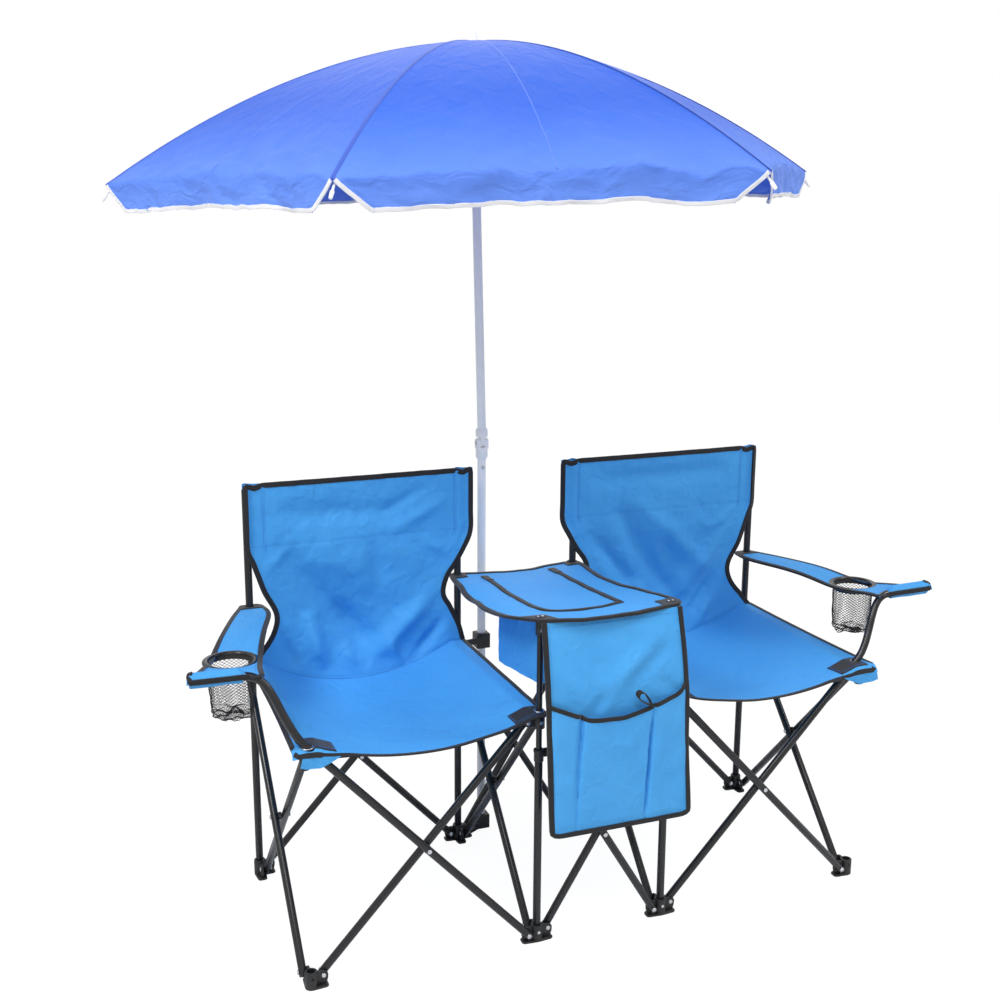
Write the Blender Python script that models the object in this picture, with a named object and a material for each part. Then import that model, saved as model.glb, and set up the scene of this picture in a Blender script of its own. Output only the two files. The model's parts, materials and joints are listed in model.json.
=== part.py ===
"""Folding double chair with a middle table, a cooler, a pocket panel and an umbrella.

Metres, +Z up. The frame is worked out about the point on the floor midway between the two chairs
and midway between the front and rear rows, and everything is moved at the end so that the origin
is on the floor under the middle of the whole outline. Columns are numbered 1 to 4 from -X to +X,
and the front row is at -Y.
"""

import math

import bmesh
import bpy
from mathutils import Matrix, Vector

# Layout of the frame
COLUMN_SPACING = 0.470      # a chair's width and depth, column to column
INNER_COLUMN = 0.142        # from the mid-plane to the inner columns
CLEARANCE = 0.0003          # running and seating gap between pieces
OVERRUN = 0.002             # how far a cutter passes through what it cuts
STAND_MIDDLE_X = -0.019     # middle of the whole outline on the floor
STAND_MIDDLE_Y = 0.280

# Tubes
TUBE_RADIUS = 0.008
TUBE_SIDES = 10
TUBE_END = 0.0095           # length of a tube beyond its end rivet
POST_HEIGHT = 0.881         # top of a rear post above the floor
POST_FOOT = 0.006           # floor of a foot's socket above the ground
SLIM_RADIUS = 0.006         # telescoping upper tube of columns 2 and 3
SLIM_BOTTOM = 0.183
SLIM_BORE_SPARE = 0.047     # bore of a lower tube under the slim tube's end, for folding

# Pivots
PIVOT_OUT = 0.024           # from a column's axis to a rivet
FOOT_PIVOT = 0.023          # height of the foot rivets
SEAT_PIVOT = 0.478          # height of the rivets at seat level
MIDDLE_PIVOT = 0.410        # height of the middle bay's top rivets
PLATE = 0.005               # wing thickness of every fitting
WING_END = 0.009            # radius of a wing's rounded end
WING_STEPS = 4
RIVET_RADIUS = 0.0025
RIVET_HEAD_RADIUS = 0.0045
RIVET_HEAD = 0.0018
RIVET_SIDES = 6
RIVET_DOME_SHARE = 0.7      # a head's top over its rim
OVERLAP = 0.0005            # how deep pieces that are made as one run into each other
WASHER_RADIUS = 0.007

# Feet, sliders and collars
SOCKET_RADIUS = 0.0125
SOCKET_HEIGHT = 0.036
FOOT_PAD = 0.005            # thickness of the foot's sole
FOOT_PAD_HALF = 0.012       # half the width of the sole under a wing
SLEEVE_RADIUS = 0.0115
SLEEVE_HEIGHT = 0.028
COLLAR_RADIUS = 0.0098
COLLAR_LIP = 0.0165         # collar below its rivet line
CAP_RADIUS = 0.0085
CAP_HEIGHT = 0.012
CORNER_HUB_RADIUS = 0.0095
CORNER_HUB_BELOW = 0.025    # corner fitting's hub under its rivet line
CORNER_HUB_TOP = 0.002      # and how far its top stays under that line

# Fabric
CLOTH = 0.003               # solid thickness of a fabric panel
BACK_TOP = 0.893
SLEEVE_WALL = 0.0022        # fabric sleeve around a post
CUFF_HEIGHT = 0.741         # lower end of the back's post sleeves
BACK_OUTER_EDGE = 0.006     # a back's edge past the outer column
BACK_INNER_EDGE = 0.034     # and past the inner column
BACK_BOW = 0.018            # how far a back bows rearwards between sleeves and seat
BACK_FLAT = 0.030           # strip next to a post that doesn't bow
SEAT_CORNER = 0.499         # top of the seat's four corners
SEAT_FLAT = 0.022           # strip along a seat's side that doesn't sag
SEAT_FRONT_DROP = 0.036     # sag of the seat's front edge
SEAT_MIDDLE_DROP = 0.066
SEAT_REAR_DROP = 0.058      # and of the seam between seat and back
SEAT_BEFORE_ROW = 0.027     # seat's front edge before the front row
SEAT_OUTER_EDGE = 0.028     # seat's front corner past the outer column
SEAT_SIDE_EDGE = 0.006      # seat's side past the outer column
SEAT_INNER_EDGE = 0.011     # and past the inner column
EYELET_MARGIN = 0.0025
GROMMET_MARGIN = 0.0015

# Armrests and cup holders
ARM_REAR_HEIGHT = 0.622
ARM_FRONT_HEIGHT = 0.633
ARM_REACH = 0.203           # from the outer column to the armrest's tip
ARM_BEHIND_ROW = 0.032      # armrest's front edge behind the front row
ARM_TAIL = 0.017            # and its rear end behind the rear row
ARM_THICKNESS = 0.006
ARM_SLEEVE_RADIUS = 0.0125
ARM_SLEEVE_LENGTH = 0.110
ARM_DIP = 0.015             # how far the armrest hangs at the cup
ARM_DIP_REACH = 0.080
CUP_OUT = 0.097             # from the outer column to the cup's axis
CUP_Y = -0.063
CUP_RADIUS = 0.043
CUP_RING_RADIUS = 0.054
CUP_RING_TOP = 0.617
CUP_RING_HEIGHT = 0.008
CUP_BOTTOM = 0.511
CUP_WALL = 0.0025
CUP_SIDES = 20

# Table, cooler and pocket panel
TABLE_FRONT_HEIGHT = 0.690  # middle of the table top over the front columns
TABLE_REAR_HEIGHT = 0.646   # and at the rear posts
TABLE_SIDE = 0.020          # table past the inner columns
TABLE_END = 0.015           # and past the rows
TABLE_THICKNESS = 0.004
COOLER_INSIDE = 0.012       # cooler's sides inside the inner columns
COOLER_FRONT_INSIDE = 0.031 # its front inside the front row
COOLER_REAR_INSIDE = 0.213  # and its rear inside the rear row
COOLER_BOTTOM = 0.530
COOLER_WALL = 0.004
PANEL_SIDE = 0.011          # panel past the inner columns
PANEL_BOTTOM = 0.268
PANEL_THICKNESS = 0.004
PANEL_TOP_OUT = 0.0275      # panel's middle plane before the front row at its top
PANEL_BOTTOM_OUT = 0.087    # and at its bottom
POCKET_MOUTH = 0.532        # mouth of the pocket at the panel's sides
POCKET_SAG = 0.033
POCKET_EDGE = 0.004         # depth of the pocket at its sides
POCKET_BULGE = 0.014        # and how much deeper it is in the middle
POCKET_WALL = 0.003

# Umbrella
MAST_INSIDE = 0.072         # mast's axis inside column 2
MAST_BEHIND = 0.037         # and behind the rear row
POLE_RADIUS = 0.0095
POLE_SIDES = 16
HOLDER_HALF = 0.0165        # half the side of the square holders
HOLDER_HEIGHT = 0.035
HOLDER_FLOOR = 0.008
RING_BOTTOM = 0.455
KNUCKLE_RADIUS = 0.0135
TILT_HEIGHT = 0.938
KNUCKLE_BELOW = 0.036       # lower end of the knuckle under the tilt axis
SLOT_BELOW = 0.011          # floor of the slot between the lower knuckle's cheeks
SPLIT_ABOVE = 0.013         # underside of the upper knuckle over the axis
KNUCKLE_ABOVE = 0.032
CHEEK_RADIUS = 0.0095
CHEEK_STEPS = 6
TONGUE_HALF = 0.0050
PIN_RADIUS = 0.0025
PIN_HEAD_RADIUS = 0.0045
PIN_HEAD = 0.0015
BUTTON_RADIUS = 0.0035
BUTTON_TRAVEL = 0.003
BUTTON_DROP = 0.020         # push button below the knuckle
LEAN_LEFT = math.radians(1.15)
LEAN_REAR = math.radians(0.9)
RIB_COUNT = 6
CANOPY_RADIUS = 0.766
APEX_HEIGHT = 1.793
DOME_RISE = 0.279           # from the rib tips to the top
DOME_POWER = 1.85           # how the canopy's height falls off with its radius
VALANCE = 0.060
SLIT_TOP = 0.005            # top of a valance slit under the rim
CANOPY_CLOTH = 0.0025
CANOPY_HOLE_MARGIN = 0.002  # hole at the top around the pole
FIRST_RIB = math.radians(-38.4)   # turn of the rib nearest the front, from -Y towards +X
HEM_DRAW = 0.012            # how far the hem draws in between two ribs
HEM_RISE = 0.014            # and rises
RIB_RADIUS = 0.0022
RIB_SIDES = 6
STRETCHER_RADIUS = 0.0020
STRETCHER_REACH = 0.36      # where a stretcher meets its rib, from the pole
RUNNER_DROP = 0.295         # runner under the canopy's top
RUNNER_RADIUS = 0.018
RUNNER_LENGTH = 0.034
CROWN_RADIUS = 0.020
CROWN_HEIGHT = 0.014
FINIAL_RADIUS = 0.010
FINIAL_HEIGHT = 0.026
TIP_CAP_RADIUS = 0.0042
TIP_CAP_LENGTH = 0.014
TIP_CAP_DROP = 0.0215       # start of a tip cap under the rim
TIP_CAP_OUT = 0.0024        # and outside it

# Shares of the sizes above
SLING_COLUMN_SHARES = (0, 0.04, 0.2, 0.36, 0.52, 0.68, 0.83, 0.91, 1)  # backs and seats, outer edge to inner
BACK_EDGE_SHARES = (        # height from seam to cuff, then the insets as shares of the column spacing
    (0.864, 0.026, -0.030), (0.740, 0.043, 0.006), (0.616, 0.068, 0.055), (0.471, 0.110, 0.070),
    (0.326, 0.100, 0.034), (0.161, 0.053, -0.002),
)
SEAT_ROW_SHARES = (0, 0.12, 0.3, 0.5, 0.7, 0.87, 0.985, 1)             # from the front edge to the rear
ARM_EDGE_SHARES = (         # from rear to front, then the inner and outer edge as shares of the reach
    (0, -0.10, 0.089), (0.037, -0.143, 0.118), (0.169, -0.153, 0.251), (0.387, -0.005, 0.443),
    (0.60, 0.135, 0.64), (0.72, 0.20, 0.75), (0.855, 0.266, 0.872), (0.960, 0.300, 0.975),
    (1, 0.335, 0.995),
)
ARM_COLUMN_SHARES = (0, 0.25, 0.5, 0.75, 1)
TABLE_OUTLINE_SHARES = (    # along X and Y, as shares of the half width and half depth
    (-0.97, 0.99), (-1.02, 0.80), (-1.11, 0.40), (-1.20, -0.28), (-1.16, -0.70), (-1.01, -0.97),
    (-0.86, -1.05), (-0.46, -1.11), (0.10, -1.11), (0.63, -1.07), (0.97, -1.02), (1.02, -0.84),
    (0.92, -0.40), (0.83, 0.00), (0.87, 0.45), (0.97, 0.82), (0.97, 0.99), (0.60, 0.99), (0.0, 0.94),
    (-0.60, 0.99),
)
PANEL_BEND_SHARE = (0.64, 0.45)                      # height and way forward where the panel bends
POCKET_COLUMN_SHARES = (0, 0.17, 0.35, 0.5, 0.65, 0.83, 1)
CANOPY_ROW_SHARES = (0.15, 0.32, 0.5, 0.66, 0.8, 0.91, 1)              # along the radius
CANOPY_COLUMN_SHARES = (0, 0.025, 0.26, 0.5, 0.74, 0.975)              # across a panel, rib to rib
RIB_BEND_SHARE = 0.97                                # where a rib turns down to its slit
FINIAL_TAPER_SHARE = 0.7                             # a finial's top over its rim
PAD_END_SHARE = 0.7                                  # end of a foot's pad over its width at the socket

# Worked out from the sizes above
OUTER_COLUMN = INNER_COLUMN + COLUMN_SPACING
COLUMN_X = [-OUTER_COLUMN, -INNER_COLUMN, INNER_COLUMN, OUTER_COLUMN]
ROW = COLUMN_SPACING / 2
TUBE_PLANE = PLATE / 2 + CLEARANCE + TUBE_RADIUS   # from a wing's middle to its tube's axis
HEAD_SEAT = TUBE_RADIUS + CLEARANCE                # from a tube's axis to a rivet head
LEFT = Vector((-1, 0, 0))
RIGHT = Vector((1, 0, 0))
FORWARD = Vector((0, -1, 0))
BACKWARD = Vector((0, 1, 0))
UP = Vector((0, 0, 1))
SEAT_FRONT = ROW + SEAT_BEFORE_ROW
ARM_TIP_X = OUTER_COLUMN + ARM_REACH
ARM_FRONT = ROW - ARM_BEHIND_ROW
ARM_REAR = ROW + ARM_TAIL
ARM_SLEEVE_START = ARM_TIP_X - ARM_SLEEVE_LENGTH
CUP_X = OUTER_COLUMN + CUP_OUT
TABLE_HALF_WIDTH = INNER_COLUMN + TABLE_SIDE
TABLE_HALF_DEPTH = ROW + TABLE_END
COOLER_HALF_WIDTH = INNER_COLUMN - COOLER_INSIDE
COOLER_FRONT = ROW - COOLER_FRONT_INSIDE
COOLER_REAR = ROW - COOLER_REAR_INSIDE
PANEL_HALF_WIDTH = INNER_COLUMN + PANEL_SIDE
PANEL_TOP_FRONT = ROW + PANEL_TOP_OUT
PANEL_BOTTOM_FRONT = ROW + PANEL_BOTTOM_OUT
MAST_X = MAST_INSIDE - INNER_COLUMN
MAST_Y = ROW + MAST_BEHIND
KNUCKLE_BOTTOM = TILT_HEIGHT - KNUCKLE_BELOW
SLOT_BOTTOM = TILT_HEIGHT - SLOT_BELOW
KNUCKLE_SPLIT = TILT_HEIGHT + SPLIT_ABOVE
KNUCKLE_TOP = TILT_HEIGHT + KNUCKLE_ABOVE
RIB_TIP_HEIGHT = APEX_HEIGHT - DOME_RISE
RUNNER_HEIGHT = APEX_HEIGHT - RUNNER_DROP


def clear_scene():
    for existing in list(bpy.data.objects):
        bpy.data.objects.remove(existing, do_unlink=True)


def finish(name, colour, roughness, metallic=0.0):
    """A Principled material in one of the part's finishes."""
    material = bpy.data.materials.new(name)
    material.use_nodes = True
    shader = material.node_tree.nodes["Principled BSDF"]
    shader.inputs["Base Color"].default_value = (*colour, 1.0)
    shader.inputs["Roughness"].default_value = roughness
    shader.inputs["Metallic"].default_value = metallic
    material.diffuse_color = (*colour, 1.0)
    return material


def mesh_object(name, mesh):
    made = bpy.data.objects.new(name, mesh)
    bpy.context.collection.objects.link(made)
    return made


def from_bmesh(shape, name="shape"):
    """An object from a bmesh, with its faces turned outwards."""
    bmesh.ops.recalc_face_normals(shape, faces=shape.faces)
    mesh = bpy.data.meshes.new(name)
    shape.to_mesh(mesh)
    shape.free()
    return mesh_object(name, mesh)


def cylinder(start, end, radius, sides=TUBE_SIDES, end_radius=None):
    """A closed round bar between two points."""
    start, end = Vector(start), Vector(end)
    length = (end - start).length
    shape = bmesh.new()
    bmesh.ops.create_cone(
        shape, cap_ends=True, segments=sides, radius1=radius,
        radius2=radius if end_radius is None else end_radius, depth=length,
    )
    turn = (end - start).to_track_quat("Z", "Y").to_matrix().to_4x4()
    bmesh.ops.transform(shape, matrix=Matrix.Translation((start + end) / 2) @ turn, verts=shape.verts)
    return from_bmesh(shape)


def box(low, high):
    """A closed block between two corners."""
    low, high = Vector(low), Vector(high)
    shape = bmesh.new()
    bmesh.ops.create_cube(shape, size=1.0)
    stretch = Matrix.Diagonal((*(high - low), 1.0))
    bmesh.ops.transform(shape, matrix=Matrix.Translation((low + high) / 2) @ stretch, verts=shape.verts)
    return from_bmesh(shape)


def slab(outline, across, thickness):
    """A flat plate: an outline of 3-D points, given half its thickness to each side along across."""
    shape = bmesh.new()
    half = across * (thickness / 2)
    face = shape.faces.new([shape.verts.new(Vector(point) - half) for point in outline])
    pushed = bmesh.ops.extrude_face_region(shape, geom=[face])
    moved = [v for v in pushed["geom"] if isinstance(v, bmesh.types.BMVert)]
    bmesh.ops.translate(shape, verts=moved, vec=across * thickness)
    return from_bmesh(shape)


def turned(profile, sides, base=(0, 0, 0)):
    """A closed turned shape about a vertical line, from (radius, height) pairs that start and end on it."""
    shape = bmesh.new()
    rings = []
    for radius, height in profile:
        if radius == 0:
            rings.append([shape.verts.new((0, 0, height))])
        else:
            rings.append([
                shape.verts.new((radius * math.cos(turn), radius * math.sin(turn), height))
                for turn in (2 * math.pi * k / sides for k in range(sides))
            ])
    for lower, upper in zip(rings, rings[1:]):
        for k in range(sides):
            following = (k + 1) % sides
            if len(lower) == 1:
                shape.faces.new((lower[0], upper[k], upper[following]))
            elif len(upper) == 1:
                shape.faces.new((lower[k], upper[0], lower[following]))
            else:
                shape.faces.new((lower[k], upper[k], upper[following], lower[following]))
    bmesh.ops.translate(shape, verts=shape.verts, vec=Vector(base))
    return from_bmesh(shape)


def swept(path, radius, sides):
    """A closed round bar along a list of points, its rings square to the path."""
    path = [Vector(point) for point in path]
    shape = bmesh.new()
    rings = []
    side = None
    for n, point in enumerate(path):
        along = (path[min(n + 1, len(path) - 1)] - path[max(n - 1, 0)]).normalized()
        if side is None:
            side = along.orthogonal().normalized()
        side = (side - along * side.dot(along)).normalized()
        other = along.cross(side)
        rings.append([
            shape.verts.new(point + side * (radius * math.cos(turn)) + other * (radius * math.sin(turn)))
            for turn in (2 * math.pi * k / sides for k in range(sides))
        ])
    for lower, upper in zip(rings, rings[1:]):
        for k in range(sides):
            following = (k + 1) % sides
            shape.faces.new((lower[k], lower[following], upper[following], upper[k]))
    shape.faces.new(rings[0])
    shape.faces.new(list(reversed(rings[-1])))
    return from_bmesh(shape)


def shell(near, far):
    """A closed panel between two grids of points, near[row][column] and far[row][column]."""
    shape = bmesh.new()
    front = [[shape.verts.new(point) for point in row] for row in near]
    rear = [[shape.verts.new(point) for point in row] for row in far]
    rows, columns = len(near), len(near[0])
    for r in range(rows - 1):
        for c in range(columns - 1):
            shape.faces.new((front[r][c], front[r][c + 1], front[r + 1][c + 1], front[r + 1][c]))
            shape.faces.new((rear[r][c], rear[r + 1][c], rear[r + 1][c + 1], rear[r][c + 1]))
    rim = (
        [(0, c) for c in range(columns)]
        + [(r, columns - 1) for r in range(1, rows)]
        + [(rows - 1, c) for c in range(columns - 2, -1, -1)]
        + [(r, 0) for r in range(rows - 2, 0, -1)]
    )
    for here, there in zip(rim, rim[1:] + rim[:1]):
        a, b = front[here[0]][here[1]], front[there[0]][there[1]]
        d, c = rear[here[0]][here[1]], rear[there[0]][there[1]]
        shape.faces.new((a, d, c, b))
    return from_bmesh(shape)


def combine(target, tools, operation):
    """Unites the tools with the target or cuts them from it, and removes them."""
    for tool in tools:
        modifier = target.modifiers.new("combine", "BOOLEAN")
        modifier.operation = operation
        modifier.solver = "EXACT"
        modifier.object = tool
        with bpy.context.temp_override(object=target, active_object=target):
            bpy.ops.object.modifier_apply(modifier=modifier.name)
        bpy.data.objects.remove(tool, do_unlink=True)
    return target


def unite(*shapes):
    return combine(shapes[0], shapes[1:], "UNION")


def cut(target, *tools):
    return combine(target, tools, "DIFFERENCE")


def node(name, material, solid):
    """One named sub-part, from its finished solid."""
    solid.name = name
    solid.data.name = name
    solid.data.materials.clear()
    solid.data.materials.append(material)
    solid.data.shade_smooth()
    solid.data.set_sharp_from_angle(angle=math.radians(40))
    return solid


def rivet(seat, along, held, outer):
    """The two pieces of a rivet fixed in its plate or tube, to be united with it: held is how far its
    tail lies behind the seat, and outer how far the underside of its head lies before it."""
    tail = seat - along * held
    head = seat + along * outer
    low, high = RIVET_HEAD_RADIUS * RIVET_DOME_SHARE, RIVET_HEAD_RADIUS
    return [
        cylinder(tail - along * RIVET_HEAD, tail + along * OVERLAP, low, RIVET_SIDES, high),
        cylinder(tail, head + along * (RIVET_HEAD / 2), RIVET_RADIUS, RIVET_SIDES),
        cylinder(head, head + along * RIVET_HEAD, high, RIVET_SIDES, low),
    ]


def rivet_hole(seat, along, reach):
    """A cutter for a rivet's shank, with running clearance on its flats."""
    radius = (RIVET_RADIUS + CLEARANCE) / math.cos(math.pi / RIVET_SIDES)
    return cylinder(seat - along * reach, seat + along * reach, radius, RIVET_SIDES)


def wing(axis_point, outwards, pivot_height, above, below):
    """An upright plate from a fitting's body to past its rivet, with a rounded outer end."""
    side = UP.cross(outwards)
    end = axis_point + outwards * PIVOT_OUT
    centre = Vector((end.x, end.y, pivot_height))
    arc = [
        centre + outwards * (WING_END * math.sin(turn)) + UP * (
            above * math.cos(turn) if math.cos(turn) > 0 else below * math.cos(turn))
        for turn in (math.pi * k / WING_STEPS for k in range(WING_STEPS + 1))
    ]
    inner = [
        Vector((axis_point.x, axis_point.y, pivot_height - below)),
        Vector((axis_point.x, axis_point.y, pivot_height + above)),
    ]
    return slab(arc + inner, side, PLATE)


def tube_side(row, outwards):
    """Which way a wing's tube lies off the plate: tubes that rise to -X lie in front of the row's
    plates and the others behind; side tubes of front feet lie on the -X side and the others on +X."""
    if abs(outwards.x) > 0:
        return FORWARD if outwards.x < 0 else BACKWARD
    return LEFT if row == "front" else RIGHT


def column_point(row, column):
    return Vector((COLUMN_X[column - 1], -ROW if row == "front" else ROW, 0))


def foot_rivets(row, column):
    """The directions of a foot's wings, one for each tube."""
    directions = [BACKWARD if row == "front" else FORWARD]
    if column > 1:
        directions.append(LEFT)
    if column < 4:
        directions.append(RIGHT)
    return directions


def foot(row, column, nylon):
    """A nylon foot: a socket, a wing on its own sole for each tube, and the rivets."""
    base = column_point(row, column)
    body = cylinder(base, base + UP * SOCKET_HEIGHT, SOCKET_RADIUS)
    added = []
    reach = PIVOT_OUT + WING_END - CLEARANCE
    for outwards in foot_rivets(row, column):
        side = UP.cross(outwards)
        corners = [base + side * (FOOT_PAD_HALF * s) + outwards * (reach * o)
                   for s, o in ((-1, 0), (1, 0), (PAD_END_SHARE, 1), (-PAD_END_SHARE, 1))]
        added.append(slab([c + UP * (FOOT_PAD / 2) for c in corners], UP, FOOT_PAD))
        added.append(wing(base, outwards, FOOT_PIVOT, WING_END, FOOT_PIVOT - FOOT_PAD / 2))
        seat_of_rivet = base + outwards * PIVOT_OUT + UP * FOOT_PIVOT
        added += rivet(seat_of_rivet, tube_side(row, outwards), PLATE / 2, TUBE_PLANE + HEAD_SEAT)
    body = unite(body, *added)
    if (row, column) == ("rear", 2):
        body = unite(body, *holder_cup(base))
        body = cut(body, pole_bore(HOLDER_FLOOR))
    bore = cylinder(base + UP * POST_FOOT, base + UP * (SOCKET_HEIGHT + OVERRUN), TUBE_RADIUS + CLEARANCE)
    return node(f"foot_{row}_{column}", nylon, cut(body, bore))


def holder_cup(base):
    """The square cup beside a foot that the mast stands in, and the web that joins it to the sole."""
    low = Vector((MAST_X - HOLDER_HALF, MAST_Y - HOLDER_HALF, 0))
    high = Vector((MAST_X + HOLDER_HALF, MAST_Y + HOLDER_HALF, HOLDER_HEIGHT))
    web = [
        (base.x, base.y + SOCKET_RADIUS / 2, 0),
        (base.x + PIVOT_OUT, base.y, 0),
        (MAST_X, low.y + HOLDER_HALF / 2, 0),
        (MAST_X - HOLDER_HALF / 2, MAST_Y, 0),
    ]
    return [box(low, high), slab([Vector(p) + UP * (FOOT_PAD / 2) for p in web], UP, FOOT_PAD)]


def pole_bore(bottom):
    """A cutter for the mast's bore in a holder."""
    radius = (POLE_RADIUS + CLEARANCE) / math.cos(math.pi / POLE_SIDES)
    return cylinder((MAST_X, MAST_Y, bottom), (MAST_X, MAST_Y, bottom + HOLDER_HEIGHT + OVERRUN), radius,
                    POLE_SIDES)


def riveted_wings(base, row, directions, height):
    """The wings of a fitting at the top of the cross tubes, with the rivet that each one carries."""
    pieces = []
    for outwards in directions:
        pieces.append(wing(base, outwards, height, WING_END, WING_END))
        seat = base + outwards * PIVOT_OUT + UP * height
        pieces += rivet(seat, tube_side_at_top(row, outwards), PLATE / 2, TUBE_PLANE + HEAD_SEAT)
    return pieces


def tube_side_at_top(row, outwards):
    """A tube that reaches a top fitting's wing comes from the foot across the bay, so it lies on the
    other side than the tube that starts below that wing."""
    if abs(outwards.x) > 0:
        return BACKWARD if outwards.x < 0 else FORWARD
    return RIGHT if row == "front" else LEFT


def slider(name, row, column, directions, height, nylon):
    """A nylon sleeve that slides on a post, with a wing and a rivet for each tube that it carries."""
    base = column_point(row, column)
    bottom = height - SLEEVE_HEIGHT / 2
    body = cylinder(base + UP * bottom, base + UP * (bottom + SLEEVE_HEIGHT), SLEEVE_RADIUS)
    body = unite(body, *riveted_wings(base, row, directions, height))
    bore = cylinder(base + UP * (bottom - OVERRUN), base + UP * (bottom + SLEEVE_HEIGHT + OVERRUN),
                    TUBE_RADIUS + CLEARANCE)
    if (column, height) == (2, SEAT_PIVOT):
        body = cut(unite(body, *holder_ring(base)), pole_bore(RING_BOTTOM - OVERRUN))
    return node(name, nylon, cut(body, bore))


def holder_ring(base):
    """The square ring at seat level that steadies the mast, and the web that joins it to its slider."""
    low = Vector((MAST_X - HOLDER_HALF, MAST_Y - HOLDER_HALF, RING_BOTTOM))
    high = Vector((MAST_X + HOLDER_HALF, MAST_Y + HOLDER_HALF, RING_BOTTOM + HOLDER_HEIGHT))
    middle = RING_BOTTOM + HOLDER_HEIGHT - SLEEVE_HEIGHT / 2
    web = [
        (base.x, base.y + SLEEVE_RADIUS - PLATE - CLEARANCE, middle),
        (base.x, base.y + SLEEVE_RADIUS - CLEARANCE, middle),
        (MAST_X - HOLDER_HALF / 2, low.y + PLATE + CLEARANCE, middle),
        (MAST_X - HOLDER_HALF / 2, low.y + CLEARANCE, middle),
    ]
    return [box(low, high), slab([Vector(p) for p in web], UP, SLEEVE_HEIGHT / 2)]


def cross_tube(name, start, end, off, steel, rivet_at_crossing, path=None):
    """A tube bored for its end rivets, straight, or bent along a path past its upper rivet. off is the
    direction from the plates' plane to the tube. One tube of each X has the crossing rivet and its
    spacer washer fixed in it, and the other is bored for it."""
    along = (end - start).normalized()
    shift = off * TUBE_PLANE
    middle = (start + end) / 2
    if path is None:
        body = cylinder(start + shift - along * TUBE_END, end + shift + along * TUBE_END, TUBE_RADIUS)
    else:
        body = swept([start + shift - along * TUBE_END] + path, TUBE_RADIUS, TUBE_SIDES)
    ends = [rivet_hole(point + shift, off, 2 * TUBE_RADIUS) for point in (start, end)]
    if rivet_at_crossing:
        half = TUBE_PLANE - TUBE_RADIUS - CLEARANCE
        washer = cylinder(middle - off * half, middle + shift, WASHER_RADIUS)
        body = unite(body, washer, *rivet(middle, -off, TUBE_PLANE + TUBE_RADIUS, TUBE_PLANE + HEAD_SEAT))
    else:
        ends.append(rivet_hole(middle + shift, off, 2 * TUBE_RADIUS))
    return node(name, steel, cut(body, *ends))


def arm_tube_path(sign, end, shift):
    """The bent upper part of an arm tube: straight on through the seat corner, up, then outwards
    along the armrest's front edge."""
    tip = Vector((sign * (ARM_TIP_X - ARM_SLEEVE_RADIUS), -ARM_FRONT + ARM_SLEEVE_RADIUS, ARM_FRONT_HEIGHT))
    start = end + shift
    rise = tip.z - start.z
    out = (tip.x - start.x)
    back = tip.y - start.y
    shares = [                                   # along X, along Y, along Z, as shares of the way
        (0.08, 0.00, 0.12), (0.16, 0.04, 0.24), (0.22, 0.16, 0.38), (0.275, 0.36, 0.54),
        (0.33, 0.58, 0.72), (0.39, 0.78, 0.87), (0.47, 0.92, 0.965), (0.60, 1.00, 1.00), (1.00, 1.00, 1.00),
    ]
    return [start + Vector((out * a, back * b, rise * c)) for a, b, c in shares]


def arm_tube_line(sign, shift):
    """The whole axis of an arm tube, from its foot rivet to the armrest's tip."""
    foot_end = Vector((sign * (INNER_COLUMN + PIVOT_OUT), -ROW, FOOT_PIVOT))
    top = Vector((sign * (OUTER_COLUMN - PIVOT_OUT), -ROW, SEAT_PIVOT))
    return [foot_end + shift] + arm_tube_path(sign, top, shift)


def bay_x(row, bay, steel):
    """The two crossing tubes of a front or rear bay."""
    left_column, right_column, top = {
        "left": (1, 2, SEAT_PIVOT), "middle": (2, 3, MIDDLE_PIVOT), "right": (3, 4, SEAT_PIVOT)}[bay]
    left, right = column_point(row, left_column), column_point(row, right_column)
    rising_left = (right + LEFT * PIVOT_OUT + UP * FOOT_PIVOT, left + RIGHT * PIVOT_OUT + UP * top)
    rising_right = (left + RIGHT * PIVOT_OUT + UP * FOOT_PIVOT, right + LEFT * PIVOT_OUT + UP * top)
    path_left = path_right = None
    if row == "front" and bay == "left":
        path_left = arm_tube_path(-1, rising_left[1], FORWARD * TUBE_PLANE)
    if row == "front" and bay == "right":
        path_right = arm_tube_path(1, rising_right[1], BACKWARD * TUBE_PLANE)
    cross_tube(f"tube_{row}_{bay}_rising_left", *rising_left, FORWARD, steel, True, path_left)
    cross_tube(f"tube_{row}_{bay}_rising_right", *rising_right, BACKWARD, steel, False, path_right)


def side_x(column, steel):
    """The two crossing tubes between the front and rear feet of a column."""
    front, rear = column_point("front", column), column_point("rear", column)
    rising_back = (front + BACKWARD * PIVOT_OUT + UP * FOOT_PIVOT,
                   rear + FORWARD * PIVOT_OUT + UP * SEAT_PIVOT)
    rising_forward = (rear + FORWARD * PIVOT_OUT + UP * FOOT_PIVOT,
                      front + BACKWARD * PIVOT_OUT + UP * SEAT_PIVOT)
    cross_tube(f"tube_side_{column}_rising_forward", *rising_forward, RIGHT, steel, True)
    cross_tube(f"tube_side_{column}_rising_back", *rising_back, LEFT, steel, False)


def table_height(y):
    """Middle of the sloping table top at a distance behind the middle."""
    return TABLE_FRONT_HEIGHT + (TABLE_REAR_HEIGHT - TABLE_FRONT_HEIGHT) * (y + ROW) / (2 * ROW)


def cap_top():
    """Top of a front column's cap, flat under the sloping table."""
    return table_height(CAP_RADIUS - ROW) - TABLE_THICKNESS / 2 - 2 * CLEARANCE


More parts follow.
